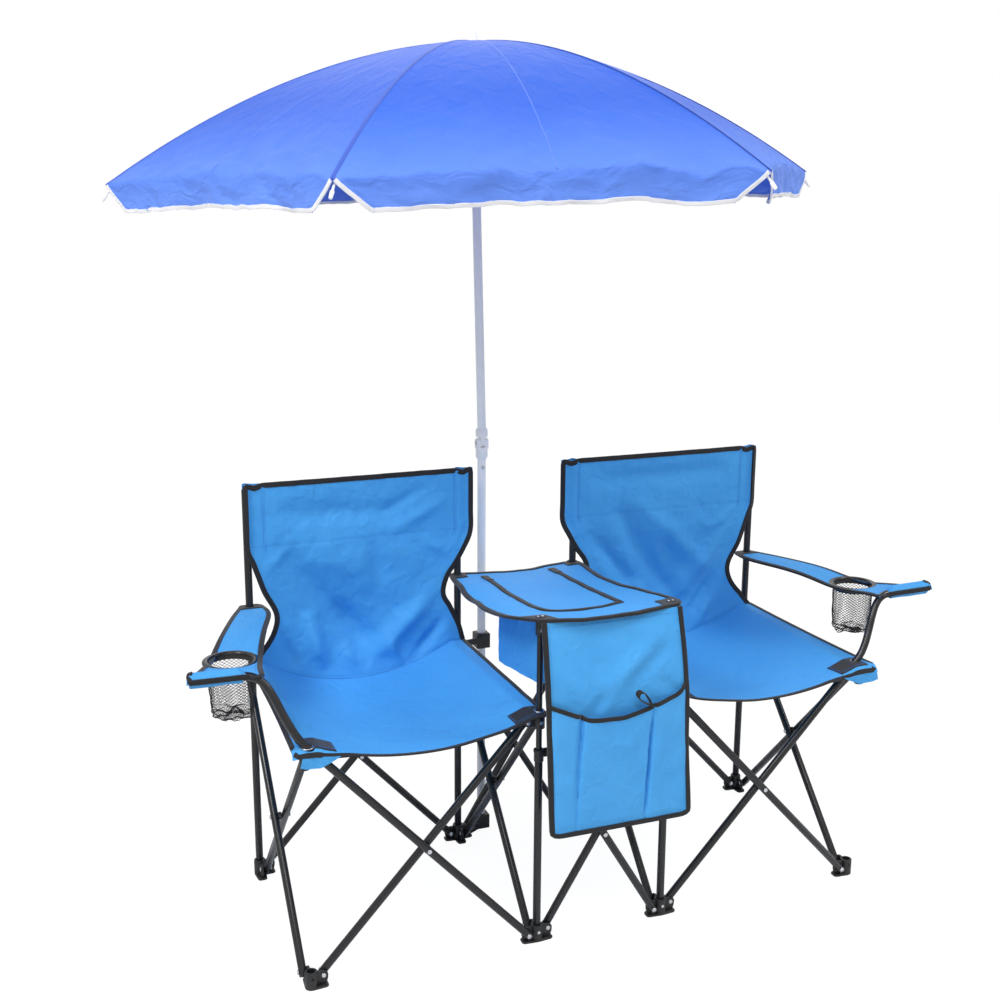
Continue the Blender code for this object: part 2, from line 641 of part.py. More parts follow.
def uprights(steel):
    """Rear posts, and the two-part front posts of the middle bay with their brackets and caps."""
    for column in (1, 2, 3, 4):
        base = column_point("rear", column)
        node(f"rear_post_{column}", steel,
             cylinder(base + UP * (POST_FOOT + CLEARANCE), base + UP * POST_HEIGHT, TUBE_RADIUS))
    collar_bottom = MIDDLE_PIVOT - COLLAR_LIP
    for column, chair_side in ((2, LEFT), (3, RIGHT)):
        base = column_point("front", column)
        lower = cylinder(base + UP * (POST_FOOT + CLEARANCE), base + UP * (collar_bottom - CLEARANCE),
                         TUBE_RADIUS)
        bore = cylinder(base + UP * (SLIM_BOTTOM - SLIM_BORE_SPARE), base + UP * collar_bottom,
                        SLIM_RADIUS + CLEARANCE)
        node(f"front_lower_tube_{column}", steel, cut(lower, bore))
        cap_bottom = cap_top() - CAP_HEIGHT
        slim = cylinder(base + UP * SLIM_BOTTOM, base + UP * (cap_bottom + CAP_HEIGHT / 2), SLIM_RADIUS)
        cap = cylinder(base + UP * cap_bottom, base + UP * (cap_bottom + CAP_HEIGHT), CAP_RADIUS)
        hub = cylinder(base + UP * (SEAT_PIVOT - SLEEVE_HEIGHT / 2), base + UP * (SEAT_PIVOT + WING_END),
                       SLEEVE_RADIUS)
        bracket = unite(hub, *riveted_wings(base, "front", [chair_side, BACKWARD], SEAT_PIVOT))
        node(f"front_upper_tube_{column}", steel, unite(bracket, slim, cap))


def sliders(nylon):
    """Every fitting that slides or floats at seat level, and the middle bay's lower ones."""
    slider("rear_slider_1", "rear", 1, [RIGHT, FORWARD], SEAT_PIVOT, nylon)
    slider("rear_slider_2", "rear", 2, [LEFT, FORWARD], SEAT_PIVOT, nylon)
    slider("rear_slider_3", "rear", 3, [RIGHT, FORWARD], SEAT_PIVOT, nylon)
    slider("rear_slider_4", "rear", 4, [LEFT, FORWARD], SEAT_PIVOT, nylon)
    slider("middle_slider_2", "rear", 2, [RIGHT], MIDDLE_PIVOT, nylon)
    slider("middle_slider_3", "rear", 3, [LEFT], MIDDLE_PIVOT, nylon)
    for column, towards_middle in ((2, RIGHT), (3, LEFT)):
        base = column_point("front", column)
        body = cylinder(base + UP * (MIDDLE_PIVOT - COLLAR_LIP), base + UP * (MIDDLE_PIVOT + WING_END),
                        COLLAR_RADIUS)
        wings = riveted_wings(base, "front", [towards_middle], MIDDLE_PIVOT)
        bore = cylinder(base + UP * (MIDDLE_PIVOT - COLLAR_LIP - OVERRUN),
                        base + UP * (MIDDLE_PIVOT + WING_END + OVERRUN), SLIM_RADIUS + CLEARANCE)
        node(f"middle_collar_{column}", nylon, cut(unite(body, *wings), bore))
    for column, inwards in ((1, RIGHT), (4, LEFT)):
        base = column_point("front", column)
        hub = cylinder(base + UP * (SEAT_PIVOT - CORNER_HUB_BELOW), base + UP * (SEAT_PIVOT - CORNER_HUB_TOP),
                       CORNER_HUB_RADIUS)
        wings = riveted_wings(base, "front", [inwards, BACKWARD], SEAT_PIVOT)
        trim = box(base + Vector((-SLEEVE_RADIUS, -SLEEVE_RADIUS, SEAT_PIVOT - CORNER_HUB_TOP)),
                   base + Vector((SLEEVE_RADIUS, SLEEVE_RADIUS, SEAT_PIVOT + 2 * WING_END)))
        node(f"corner_fitting_{column}", nylon, cut(unite(hub, *wings), trim))


def span(low, high, share):
    return low + (high - low) * share


def sling_drop(x, drop):
    """How far a seat hangs under its corners at a distance from the mid-plane."""
    inside = min(abs(x) - INNER_COLUMN, OUTER_COLUMN - abs(x))
    share = (inside - SEAT_FLAT) / (COLUMN_SPACING / 2 - SEAT_FLAT)
    return drop * (1 - (1 - min(max(share, 0), 1)) ** 2)


def seat_rear():
    """Rear edge of a seat, under the lower edge of its back."""
    return ROW - TUBE_RADIUS - CLEARANCE - 2 * CLOTH


def mirrored(sign, grid):
    """A grid for one chair, from distances that are given outwards from the mid-plane."""
    return [[Vector((sign * p[0], p[1], p[2])) for p in row] for row in grid]


def thickened(grid, across):
    """A closed panel: a grid of points given half of across to each side."""
    half = Vector(across) / 2
    return shell([[p + half for p in row] for row in grid], [[p - half for p in row] for row in grid])


def back(name, sign, fabric):
    """A chair's back: one sheet that passes in front of the posts, with a sleeve over each post."""
    front_plane = ROW - TUBE_RADIUS - CLEARANCE - CLOTH / 2
    seam_plane = seat_rear() - CLOTH / 2
    edges = [(None, -BACK_OUTER_EDGE, -BACK_INNER_EDGE)] * 2
    edges += [(1, -BACK_OUTER_EDGE, -BACK_INNER_EDGE)]
    edges += [(h, COLUMN_SPACING * a, COLUMN_SPACING * b) for h, a, b in BACK_EDGE_SHARES]
    edges += [(0, -SEAT_SIDE_EDGE, -SEAT_INNER_EDGE)]
    grid = []
    for n, (height, outer, inner) in enumerate(edges):
        row = []
        for share in SLING_COLUMN_SHARES:
            x = span(OUTER_COLUMN - outer, INNER_COLUMN + inner, share)
            seam = SEAT_CORNER - sling_drop(x, SEAT_REAR_DROP)
            if height is None:
                row.append((x, front_plane, span(BACK_TOP, CUFF_HEIGHT, n / 2)))
                continue
            across = (x - INNER_COLUMN - BACK_FLAT) / (COLUMN_SPACING - 2 * BACK_FLAT)
            bow = BACK_BOW * math.sin(math.pi * min(max(across, 0), 1)) * math.sin(math.pi * height)
            y = span(seam_plane, front_plane, min(1, height / BACK_EDGE_SHARES[-2][0])) + bow
            row.append((x, y, span(seam, CUFF_HEIGHT, height)))
        grid.append(row)
    body = thickened(mirrored(sign, grid), (0, CLOTH, 0))
    sleeves, bores = [], []
    for column in (OUTER_COLUMN, INNER_COLUMN):
        post = Vector((sign * column, ROW, 0))
        outside = TUBE_RADIUS + CLEARANCE + SLEEVE_WALL
        sleeves.append(cylinder(post + UP * CUFF_HEIGHT, post + UP * (BACK_TOP - OVERLAP), outside))
        bores.append(cylinder(post + UP * (CUFF_HEIGHT - OVERRUN), post + UP * (POST_HEIGHT + CLEARANCE),
                              TUBE_RADIUS + CLEARANCE))
    return node(name, fabric, cut(unite(body, *sleeves), *bores))


def seat(name, sign, fabric, arm_path):
    """A chair's seat: a sling hung from its corners, with an eyelet for the arm tube in the outer
    front corner and one for the slim tube in the inner."""
    grid = []
    for along in SEAT_ROW_SHARES:
        y = span(-SEAT_FRONT, seat_rear(), along)
        outer = SEAT_SIDE_EDGE + (SEAT_OUTER_EDGE - SEAT_SIDE_EDGE) * (1 - along) ** 3
        level = min(along, SEAT_ROW_SHARES[-2]) / SEAT_ROW_SHARES[-2]
        drop = (SEAT_FRONT_DROP * (1 - level) * (1 - 2 * level) + SEAT_MIDDLE_DROP * 4 * level * (1 - level)
                + SEAT_REAR_DROP * level * (2 * level - 1))
        row = []
        for share in SLING_COLUMN_SHARES:
            x = span(OUTER_COLUMN + outer, INNER_COLUMN - SEAT_INNER_EDGE, share)
            row.append((x, y, SEAT_CORNER - CLEARANCE - CLOTH / 2 - sling_drop(x, drop)))
        grid.append(row)
    body = thickened(mirrored(sign, grid), (0, 0, CLOTH))
    column = Vector((sign * INNER_COLUMN, -ROW, 0))
    slim = cylinder(column + UP * (SEAT_CORNER - 2 * SLEEVE_HEIGHT),
                    column + UP * (SEAT_CORNER + SLEEVE_HEIGHT), SLIM_RADIUS + EYELET_MARGIN)
    return node(name, fabric, cut(body, slim, swept(arm_path, TUBE_RADIUS + EYELET_MARGIN, TUBE_SIDES)))


def armrest(name, sign, fabric, arm_path):
    """An armrest: a padded strip from the rear post to a sleeve on the arm tube, and the cup holder
    that hangs from its ring."""
    reach = ARM_TIP_X - OUTER_COLUMN
    grid = []
    for along, inner, outer in ARM_EDGE_SHARES:
        y = span(ARM_REAR, -ARM_FRONT, along)
        row = []
        for share in ARM_COLUMN_SHARES:
            x = OUTER_COLUMN + reach * span(inner, outer, share)
            away = math.hypot(x - CUP_X, y - CUP_Y) / ARM_DIP_REACH
            z = span(ARM_REAR_HEIGHT, ARM_FRONT_HEIGHT, along) - ARM_DIP * math.exp(-away * away)
            row.append((x, y, z))
        grid.append(row)
    body = thickened(mirrored(sign, grid), (0, 0, ARM_THICKNESS))
    axis = Vector((0, ARM_SLEEVE_RADIUS - ARM_FRONT, ARM_FRONT_HEIGHT))
    sleeve = cylinder(axis + RIGHT * (sign * ARM_SLEEVE_START), axis + RIGHT * (sign * ARM_TIP_X),
                      ARM_SLEEVE_RADIUS)
    ring_low = CUP_RING_TOP - CUP_RING_HEIGHT
    holder = turned([(0, CUP_BOTTOM), (CUP_RADIUS, CUP_BOTTOM), (CUP_RADIUS, ring_low),
                     (CUP_RING_RADIUS, ring_low), (CUP_RING_RADIUS, CUP_RING_TOP), (0, CUP_RING_TOP)],
                    CUP_SIDES, (sign * CUP_X, CUP_Y, 0))
    cup = Vector((sign * CUP_X, CUP_Y, 0))
    inside = cylinder(cup + UP * (CUP_BOTTOM + CUP_WALL), cup + UP * (ARM_FRONT_HEIGHT + CUP_RING_HEIGHT),
                      CUP_RADIUS - CUP_WALL, CUP_SIDES)
    post = Vector((sign * OUTER_COLUMN, ROW, ARM_REAR_HEIGHT))
    grommet = cylinder(post - UP * ARM_DIP, post + UP * ARM_DIP, TUBE_RADIUS + GROMMET_MARGIN)
    bore_path = arm_path[:-1] + [arm_path[-1] + RIGHT * (sign * CLEARANCE)]
    tube = swept(bore_path, TUBE_RADIUS + CLEARANCE, TUBE_SIDES)
    return node(name, fabric, cut(unite(body, sleeve, holder), inside, grommet, tube))


def table_top(fabric):
    """The table: a taut sheet on the caps of the front columns, with the rear posts through it."""
    outline = [Vector((TABLE_HALF_WIDTH * a, TABLE_HALF_DEPTH * b, table_height(TABLE_HALF_DEPTH * b)))
               for a, b in TABLE_OUTLINE_SHARES]
    body = slab(outline, UP, TABLE_THICKNESS)
    grommets = []
    for column in (2, 3):
        post = column_point("rear", column) + UP * TABLE_REAR_HEIGHT
        grommets.append(cylinder(post - UP * SLEEVE_HEIGHT, post + UP * SLEEVE_HEIGHT,
                                 TUBE_RADIUS + GROMMET_MARGIN))
    return node("table_top", fabric, cut(body, *grommets))


def cooler_bag(fabric):
    """The cooler: a bag that hangs under the table and is open to its zipped flap."""
    def block(wall, top_gap):
        """The bag's outside, or with a wall the space in it, under the sloping table."""
        shape = bmesh.new()
        corners = []
        for y in (-COOLER_FRONT + wall, COOLER_REAR - wall):
            for x in (-COOLER_HALF_WIDTH + wall, COOLER_HALF_WIDTH - wall):
                top = table_height(y) - TABLE_THICKNESS / 2 - top_gap
                corners.append([shape.verts.new((x, y, height)) for height in (COOLER_BOTTOM + wall, top)])
        bmesh.ops.convex_hull(shape, input=shape.verts)
        return from_bmesh(shape)

    return node("cooler_bag", fabric, cut(block(0, CLEARANCE), block(COOLER_WALL, -OVERRUN)))


def pocket_panel(fabric):
    """The panel in front of the middle bay, hung from the table's front edge, with a bellied pocket."""
    top = table_height(-PANEL_TOP_FRONT - PANEL_THICKNESS) - TABLE_THICKNESS / 2 - 3 * CLEARANCE
    bend = span(PANEL_BOTTOM, top, PANEL_BEND_SHARE[0])
    bend_front = span(PANEL_TOP_FRONT, PANEL_BOTTOM_FRONT, PANEL_BEND_SHARE[1])

    def plane(height):
        """Distance in front of the middle of the panel's middle plane at a height."""
        if height > bend:
            return span(bend_front, PANEL_TOP_FRONT, (height - bend) / (top - bend))
        return span(PANEL_BOTTOM_FRONT, bend_front, (height - PANEL_BOTTOM) / (bend - PANEL_BOTTOM))

    sheet = [[Vector((x, -plane(z), z)) for x in (-PANEL_HALF_WIDTH, PANEL_HALF_WIDTH)]
             for z in (top, bend, PANEL_BOTTOM)]
    body = thickened(sheet, (0, PANEL_THICKNESS, 0))

    def pouch(inset, behind, above):
        """The pocket's outside, or with an inset the space in it."""
        near, far = [], []
        for level in (0, 1 / 2, 1):
            front_row, rear_row = [], []
            for share in POCKET_COLUMN_SHARES:
                x = span(-PANEL_HALF_WIDTH + inset, PANEL_HALF_WIDTH - inset, share)
                belly = math.sin(math.pi * share)
                mouth = POCKET_MOUTH - POCKET_SAG * belly + above
                z = span(mouth, PANEL_BOTTOM + inset, level)
                deep = POCKET_EDGE + POCKET_BULGE * belly * (1 - level * level) - inset / 2
                front_row.append(Vector((x, -plane(z) - PANEL_THICKNESS / 2 - deep, z)))
                rear_row.append(Vector((x, -plane(z) - behind, z)))
            near.append(front_row)
            far.append(rear_row)
        return shell(near, far)

    outside = pouch(0, 0, 0)
    space = pouch(POCKET_WALL, PANEL_THICKNESS / 2 + OVERLAP, SLEEVE_RADIUS)
    return node("pocket_panel", fabric, cut(unite(body, outside), space))


def leaned(shape):
    """Turns a shape that was made upright above the knuckle to the mast's own lean."""
    centre = Vector((MAST_X, MAST_Y, KNUCKLE_TOP))
    turn = Matrix.Rotation(-LEAN_LEFT, 4, "Y") @ Matrix.Rotation(-LEAN_REAR, 4, "X")
    shape.data.transform(Matrix.Translation(centre) @ turn @ Matrix.Translation(-centre))
    return shape


def mast_point(height):
    return Vector((MAST_X, MAST_Y, height))


def rounded_tongue(half_low, half_high, foot):
    """A plate across X from a height to the tilt axis, rounded about that axis."""
    toward = 1 if foot > TILT_HEIGHT else -1
    arc = [
        Vector((0, MAST_Y + CHEEK_RADIUS * math.cos(a), TILT_HEIGHT - toward * CHEEK_RADIUS * math.sin(a)))
        for a in (math.pi * k / CHEEK_STEPS for k in range(CHEEK_STEPS + 1))
    ]
    arc += [Vector((0, MAST_Y - CHEEK_RADIUS, foot)), Vector((0, MAST_Y + CHEEK_RADIUS, foot))]
    middle = Vector((MAST_X + (half_low + half_high) / 2, 0, 0))
    return slab([p + middle for p in arc], RIGHT, half_high - half_low)


def umbrella_poles(white, steel):
    """Lower pole with the knuckle's cheeks and pin, its push button, and the upper pole on its tongue."""
    slot = TONGUE_HALF + CLEARANCE
    cheek_side = KNUCKLE_RADIUS - CLEARANCE
    lower = unite(
        cylinder(mast_point(HOLDER_FLOOR + CLEARANCE), mast_point(KNUCKLE_BOTTOM + OVERLAP), POLE_RADIUS,
                 POLE_SIDES),
        cylinder(mast_point(KNUCKLE_BOTTOM), mast_point(SLOT_BOTTOM), KNUCKLE_RADIUS, POLE_SIDES),
        rounded_tongue(slot, cheek_side, SLOT_BOTTOM - OVERRUN),
        rounded_tongue(-cheek_side, -slot, SLOT_BOTTOM - OVERRUN),
        cylinder(mast_point(TILT_HEIGHT) + LEFT * KNUCKLE_RADIUS,
                 mast_point(TILT_HEIGHT) + RIGHT * KNUCKLE_RADIUS, PIN_RADIUS, RIVET_SIDES),
    )
    for side in (LEFT, RIGHT):
        seat_of_head = mast_point(TILT_HEIGHT) + side * (cheek_side - OVERLAP)
        lower = unite(lower, cylinder(seat_of_head, seat_of_head + side * PIN_HEAD, PIN_HEAD_RADIUS,
                                      RIVET_SIDES))
    button_height = KNUCKLE_BOTTOM - BUTTON_DROP
    pocket = cylinder(mast_point(button_height),
                      mast_point(button_height) + FORWARD * (POLE_RADIUS + OVERRUN),
                      BUTTON_RADIUS + 2 * CLEARANCE, POLE_SIDES)
    node("umbrella_pole_lower", white, cut(lower, pocket))
    inner_end = mast_point(button_height) + FORWARD * (BUTTON_TRAVEL + CLEARANCE)
    node("umbrella_push_button", steel,
         cylinder(inner_end, mast_point(button_height) + FORWARD * (POLE_RADIUS + BUTTON_TRAVEL),
                  BUTTON_RADIUS, POLE_SIDES))
    finial_low = APEX_HEIGHT + CLEARANCE
    pole = leaned(cylinder(mast_point(KNUCKLE_TOP - OVERRUN), mast_point(APEX_HEIGHT + FINIAL_HEIGHT / 2),
                           POLE_RADIUS, POLE_SIDES))
    finial = leaned(cylinder(mast_point(finial_low), mast_point(finial_low + FINIAL_HEIGHT), FINIAL_RADIUS,
                             POLE_SIDES, FINIAL_RADIUS * FINIAL_TAPER_SHARE))
    upper = unite(
        cylinder(mast_point(KNUCKLE_SPLIT), mast_point(KNUCKLE_TOP), KNUCKLE_RADIUS, POLE_SIDES),
        rounded_tongue(-TONGUE_HALF, TONGUE_HALF, KNUCKLE_SPLIT + OVERRUN), pole, finial)
    reach = LEFT * (2 * TONGUE_HALF)
    pin_radius = (PIN_RADIUS + CLEARANCE) / math.cos(math.pi / RIVET_SIDES)
    pin_hole = cylinder(mast_point(TILT_HEIGHT) - reach, mast_point(TILT_HEIGHT) + reach, pin_radius,
                        RIVET_SIDES)
    node("umbrella_pole_upper", white, cut(upper, pin_hole))


def dome_height(radius):
    """Outer surface of the canopy along a rib."""
    return APEX_HEIGHT - (APEX_HEIGHT - RIB_TIP_HEIGHT) * (radius / CANOPY_RADIUS) ** DOME_POWER


def dome_slope(radius):
    """How steeply the canopy falls along a rib."""
    share = (radius / CANOPY_RADIUS) ** (DOME_POWER - 1)
    return DOME_POWER * (APEX_HEIGHT - RIB_TIP_HEIGHT) / CANOPY_RADIUS * share


def rib_direction(number):
    turn = FIRST_RIB + 2 * math.pi * number / RIB_COUNT
    return Vector((math.sin(turn), -math.cos(turn), 0))


def canopy(fabric):
    """The canopy with its valance: flat across between the ribs, slit under each rib tip."""
    hole = (POLE_RADIUS + CLEARANCE) / math.cos(math.pi / POLE_SIDES)
    radii = [hole + CANOPY_HOLE_MARGIN] + [CANOPY_RADIUS * share for share in CANOPY_ROW_SHARES]
    outer, inner = [], []
    for radius in radii:
        level = (radius / CANOPY_RADIUS) ** 4
        down = CANOPY_CLOTH * math.hypot(1, dome_slope(radius))
        outer_ring, inner_ring = [], []
        for panel in range(RIB_COUNT):
            for share in CANOPY_COLUMN_SHARES:
                flat = rib_direction(panel).lerp(rib_direction(panel + 1), share) * radius
                middle = 4 * share * (1 - share) * level
                flat -= flat.normalized() * (HEM_DRAW * middle)
                point = mast_point(dome_height(radius) + HEM_RISE * middle) + flat
                outer_ring.append(point)
                rim_in = flat.normalized() * CANOPY_CLOTH if radius == radii[-1] else Vector()
                inner_ring.append(point - UP * down - rim_in)
        outer.append(outer_ring)
        inner.append(inner_ring)
    outer_hem, inner_hem = [], []
    for n, point in enumerate(outer[-1]):
        drop = SLIT_TOP if n % len(CANOPY_COLUMN_SHARES) == 0 else VALANCE
        inwards = mast_point(0) - Vector((point.x, point.y, 0))
        outer_hem.append(point - UP * drop)
        inner_hem.append(point - UP * drop + inwards.normalized() * CANOPY_CLOTH)
    outer.append(outer_hem)
    inner.append(inner_hem)
    shape = bmesh.new()
    outer = [[shape.verts.new(p) for p in ring] for ring in outer]
    inner = [[shape.verts.new(p) for p in ring] for ring in inner]
    count = len(outer[0])
    for grid in (outer, inner):
        for upper, lower in zip(grid, grid[1:]):
            for k in range(count):
                shape.faces.new((upper[k], upper[(k + 1) % count], lower[(k + 1) % count], lower[k]))
    for k in range(count):
        following = (k + 1) % count
        shape.faces.new((outer[0][k], inner[0][k], inner[0][following], outer[0][following]))
        shape.faces.new((outer[-1][k], outer[-1][following], inner[-1][following], inner[-1][k]))
    return node("umbrella_canopy", fabric, leaned(from_bmesh(shape)))


def rib_height(radius):
    """Axis of a rib under the canopy's cloth, clear of the ridge that the cloth makes over it."""
    slope = dome_slope(radius)
    cloth = (CANOPY_CLOTH + CLEARANCE + RIB_RADIUS) * math.hypot(1, slope)
    return dome_height(radius) - cloth - slope * RIB_RADIUS


def rib_frame(steel):
    """Crown and runner on the upper pole, with the ribs, their stretchers and their tip caps."""
    crown_top = rib_height(CROWN_RADIUS)
    crown = cylinder(mast_point(crown_top - CROWN_HEIGHT), mast_point(crown_top), CROWN_RADIUS, RIB_COUNT * 2)
    runner = cylinder(mast_point(RUNNER_HEIGHT), mast_point(RUNNER_HEIGHT + RUNNER_LENGTH), RUNNER_RADIUS,
                      RIB_COUNT * 2)
    arms = []
    for number in range(RIB_COUNT):
        out = rib_direction(number)
        radii = [(POLE_RADIUS + CROWN_RADIUS) / 2]
        radii += [CANOPY_RADIUS * share for share in CANOPY_ROW_SHARES[:-1]]
        radii += [CANOPY_RADIUS * RIB_BEND_SHARE]
        path = [mast_point(rib_height(radius)) + out * radius for radius in radii]
        cap_start = mast_point(RIB_TIP_HEIGHT - TIP_CAP_DROP) + out * (CANOPY_RADIUS + TIP_CAP_OUT)
        along = (cap_start - path[-1]).normalized()
        arms.append(swept(path + [cap_start + along * (TIP_CAP_LENGTH / 2)], RIB_RADIUS, RIB_SIDES))
        arms.append(cylinder(cap_start, cap_start + along * TIP_CAP_LENGTH, TIP_CAP_RADIUS, RIB_SIDES))
        joint = mast_point(rib_height(STRETCHER_REACH)) + out * STRETCHER_REACH
        eye_reach = (POLE_RADIUS + RUNNER_RADIUS) / 2
        runner_eye = mast_point(RUNNER_HEIGHT + RUNNER_LENGTH / 2) + out * eye_reach
        arms.append(cylinder(runner_eye, joint, STRETCHER_RADIUS, RIB_SIDES))
    body = unite(crown, runner, *arms)
    bore = cylinder(mast_point(RUNNER_HEIGHT - OVERRUN), mast_point(APEX_HEIGHT),
                    (POLE_RADIUS + CLEARANCE) / math.cos(math.pi / POLE_SIDES), POLE_SIDES)
    return node("umbrella_rib_frame", steel, leaned(cut(body, bore)))


def main():
    clear_scene()
    steel = finish("black_steel", (0.012, 0.012, 0.014), 0.38, 0.6)
    nylon = finish("black_nylon", (0.014, 0.014, 0.015), 0.5)
    for row in ("front", "rear"):
        for column in (1, 2, 3, 4):
            foot(row, column, nylon)
    uprights(steel)
    sliders(nylon)
    for row in ("front", "rear"):
        for bay in ("left", "middle", "right"):
            bay_x(row, bay, steel)
    for column in (1, 2, 3, 4):
        side_x(column, steel)
    blue = finish("azure_cloth", (0.045, 0.245, 0.72), 0.8)
    royal = finish("royal_cloth", (0.06, 0.12, 0.62), 0.7)
    white = finish("white_enamel", (0.86, 0.87, 0.89), 0.35)
    for side, sign, off in (("left", -1, FORWARD), ("right", 1, BACKWARD)):
        arm_path = arm_tube_line(sign, off * TUBE_PLANE)
        back(f"back_{side}", sign, blue)
        seat(f"seat_{side}", sign, blue, arm_path)
        armrest(f"armrest_{side}", sign, blue, arm_path)
    table_top(blue)
    cooler_bag(blue)
    pocket_panel(blue)
    umbrella_poles(white, steel)
    canopy(royal)
    rib_frame(white)
    for made in bpy.data.objects:
        made.data.transform(Matrix.Translation((-STAND_MIDDLE_X, -STAND_MIDDLE_Y, 0)))


main()
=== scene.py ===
"""Looks of a folding double chair with a middle table, a cooler, a pocket panel and an umbrella.

Metres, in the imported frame: +X to the viewer's right, -Y the way a sitter faces, +Z up. Shapes of the
chair are given about its own middle on the floor, midway between the two chairs and the two rows.
"""

import json
import math

import bpy
from mathutils import Euler, Matrix, Vector, noise


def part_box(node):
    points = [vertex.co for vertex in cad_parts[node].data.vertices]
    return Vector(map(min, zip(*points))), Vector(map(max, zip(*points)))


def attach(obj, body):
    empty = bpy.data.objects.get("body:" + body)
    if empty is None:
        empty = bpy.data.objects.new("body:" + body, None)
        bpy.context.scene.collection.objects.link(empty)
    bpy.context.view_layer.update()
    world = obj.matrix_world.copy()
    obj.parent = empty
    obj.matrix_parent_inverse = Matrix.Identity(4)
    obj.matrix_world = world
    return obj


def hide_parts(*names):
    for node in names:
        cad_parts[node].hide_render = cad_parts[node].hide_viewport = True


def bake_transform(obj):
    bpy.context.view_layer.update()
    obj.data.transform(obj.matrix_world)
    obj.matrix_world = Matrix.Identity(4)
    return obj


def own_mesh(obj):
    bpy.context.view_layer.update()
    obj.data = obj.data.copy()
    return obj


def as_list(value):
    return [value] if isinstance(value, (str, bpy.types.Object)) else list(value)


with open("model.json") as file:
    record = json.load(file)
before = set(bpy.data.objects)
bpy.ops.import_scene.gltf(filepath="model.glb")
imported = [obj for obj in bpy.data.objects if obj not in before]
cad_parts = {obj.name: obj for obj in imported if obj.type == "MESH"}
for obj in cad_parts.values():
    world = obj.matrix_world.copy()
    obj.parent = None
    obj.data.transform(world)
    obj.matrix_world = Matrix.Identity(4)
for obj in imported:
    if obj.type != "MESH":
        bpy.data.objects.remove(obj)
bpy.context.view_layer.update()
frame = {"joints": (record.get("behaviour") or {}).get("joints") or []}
bpy.ops.object.select_all(action="DESELECT")
scene = bpy.context.scene

# Camera
# It stands to the left of the chair at a standing person's eye height and looks slightly down.
camera_turn = Euler((math.pi / 2 - 0.2346, 0, -0.3796)).to_matrix() @ Matrix.Rotation(0.0052, 3, "Z")
bpy.ops.object.camera_add(location=(-1.119, -2.798, 1.519), rotation=camera_turn.to_euler())
camera = bpy.context.object
camera.data.lens = 48.8
scene.camera = camera

# Light and floor
# Soft lamps above in front and on both sides, which reach the seats from under the canopy's rim, and a
# weak one behind, in a white room. The room and the floor show pale to the camera and to gloss.
scene.view_settings.view_transform = "Standard"
lamps = {
    "key_lamp": ((-0.9, -3.3, 3.7), 1.6, 46),
    "left_lamp": ((-2.7, -1.3, 4.0), 1.3, 98),
    "right_lamp": ((2.7, -1.3, 4.0), 1.3, 62),
    "rear_lamp": ((1.2, 3.4, 3.2), 2.5, 25),
}
lamp_target = Vector((0, 0, 0.8))
for lamp_name, (lamp_place, lamp_size, lamp_power) in lamps.items():
    lamp_turn = (lamp_target - Vector(lamp_place)).to_track_quat("-Z", "Y").to_euler()
    bpy.ops.object.light_add(type="AREA", location=lamp_place, rotation=lamp_turn)
    lamp = bpy.context.object
    lamp.name = lamp_name
    lamp.data.size = lamp_size
    lamp.data.energy = lamp_power


def feed(tree, socket, value):
    """Links a socket to another node's output, or sets it to a value."""
    if isinstance(value, bpy.types.NodeSocket):
        tree.links.new(value, socket)
    else:
        socket.default_value = value


def add_node(tree, kind, **sockets):
    """A shader node with its sockets set or linked, each named by its name or by _ and its number."""
    made = tree.nodes.new(kind)
    for socket, value in sockets.items():
        key = int(socket[1:]) if socket[1:].isdigit() else socket.replace("_", " ")
        feed(tree, made.inputs[key], value)
    return made


def calculated(tree, operation, *values):
    """The output of a Math node."""
    made = tree.nodes.new("ShaderNodeMath")
    made.operation = operation
    for socket, value in zip(made.inputs, values):
        feed(tree, socket, value)
    return made.outputs[0]


def mixed_colour(tree, share, first, second, blend="MIX"):
    """The output of a Mix node between two colours."""
    made = tree.nodes.new("ShaderNodeMix")
    made.data_type, made.blend_type = "RGBA", blend
    for number, value in ((0, share), (6, first), (7, second)):
        feed(tree, made.inputs[number], value)
    return made.outputs[2]


room = bpy.data.worlds.new("white_room")
scene.world = room
room.use_nodes = True
sky = room.node_tree
room_light = sky.nodes["Background"]
room_ray = sky.nodes.new("ShaderNodeLightPath").outputs
seen = calculated(sky, "MAXIMUM", room_ray["Is Camera Ray"], room_ray["Is Transmission Ray"])
seen = calculated(sky, "MAXIMUM", seen, calculated(sky, "MULTIPLY", room_ray["Is Glossy Ray"], 0.75))
ambient = 0.47
room_light.inputs["Color"].default_value = (1.0, 1.0, 1.0, 1.0)
sky.links.new(calculated(sky, "MAXIMUM", seen, ambient), room_light.inputs["Strength"])

bpy.ops.mesh.primitive_grid_add(x_subdivisions=8, y_subdivisions=8, size=240, location=(0, 0, 0))
floor = bpy.context.object
floor.name = "floor"
floor_paint = bpy.data.materials.new("pale_floor")
floor_paint.use_nodes = True
paint = floor_paint.node_tree
floor_shader = paint.nodes["Principled BSDF"]
floor_shader.inputs["Base Color"].default_value = (0.84, 0.84, 0.84, 1)
floor_shader.inputs["Roughness"].default_value = 0.9
floor_ray = paint.nodes.new("ShaderNodeLightPath").outputs["Is Camera Ray"]
glow = add_node(paint, "ShaderNodeEmission", Color=(1, 1, 1, 1), Strength=1.10)
floor_share = calculated(paint, "MULTIPLY", floor_ray, 0.86)
floor_mix = add_node(paint, "ShaderNodeMixShader", _0=floor_share, _1=floor_shader.outputs[0], _2=glow.outputs[0])
paint.links.new(floor_mix.outputs[0], paint.nodes["Material Output"].inputs["Surface"])
floor.data.materials.append(floor_paint)

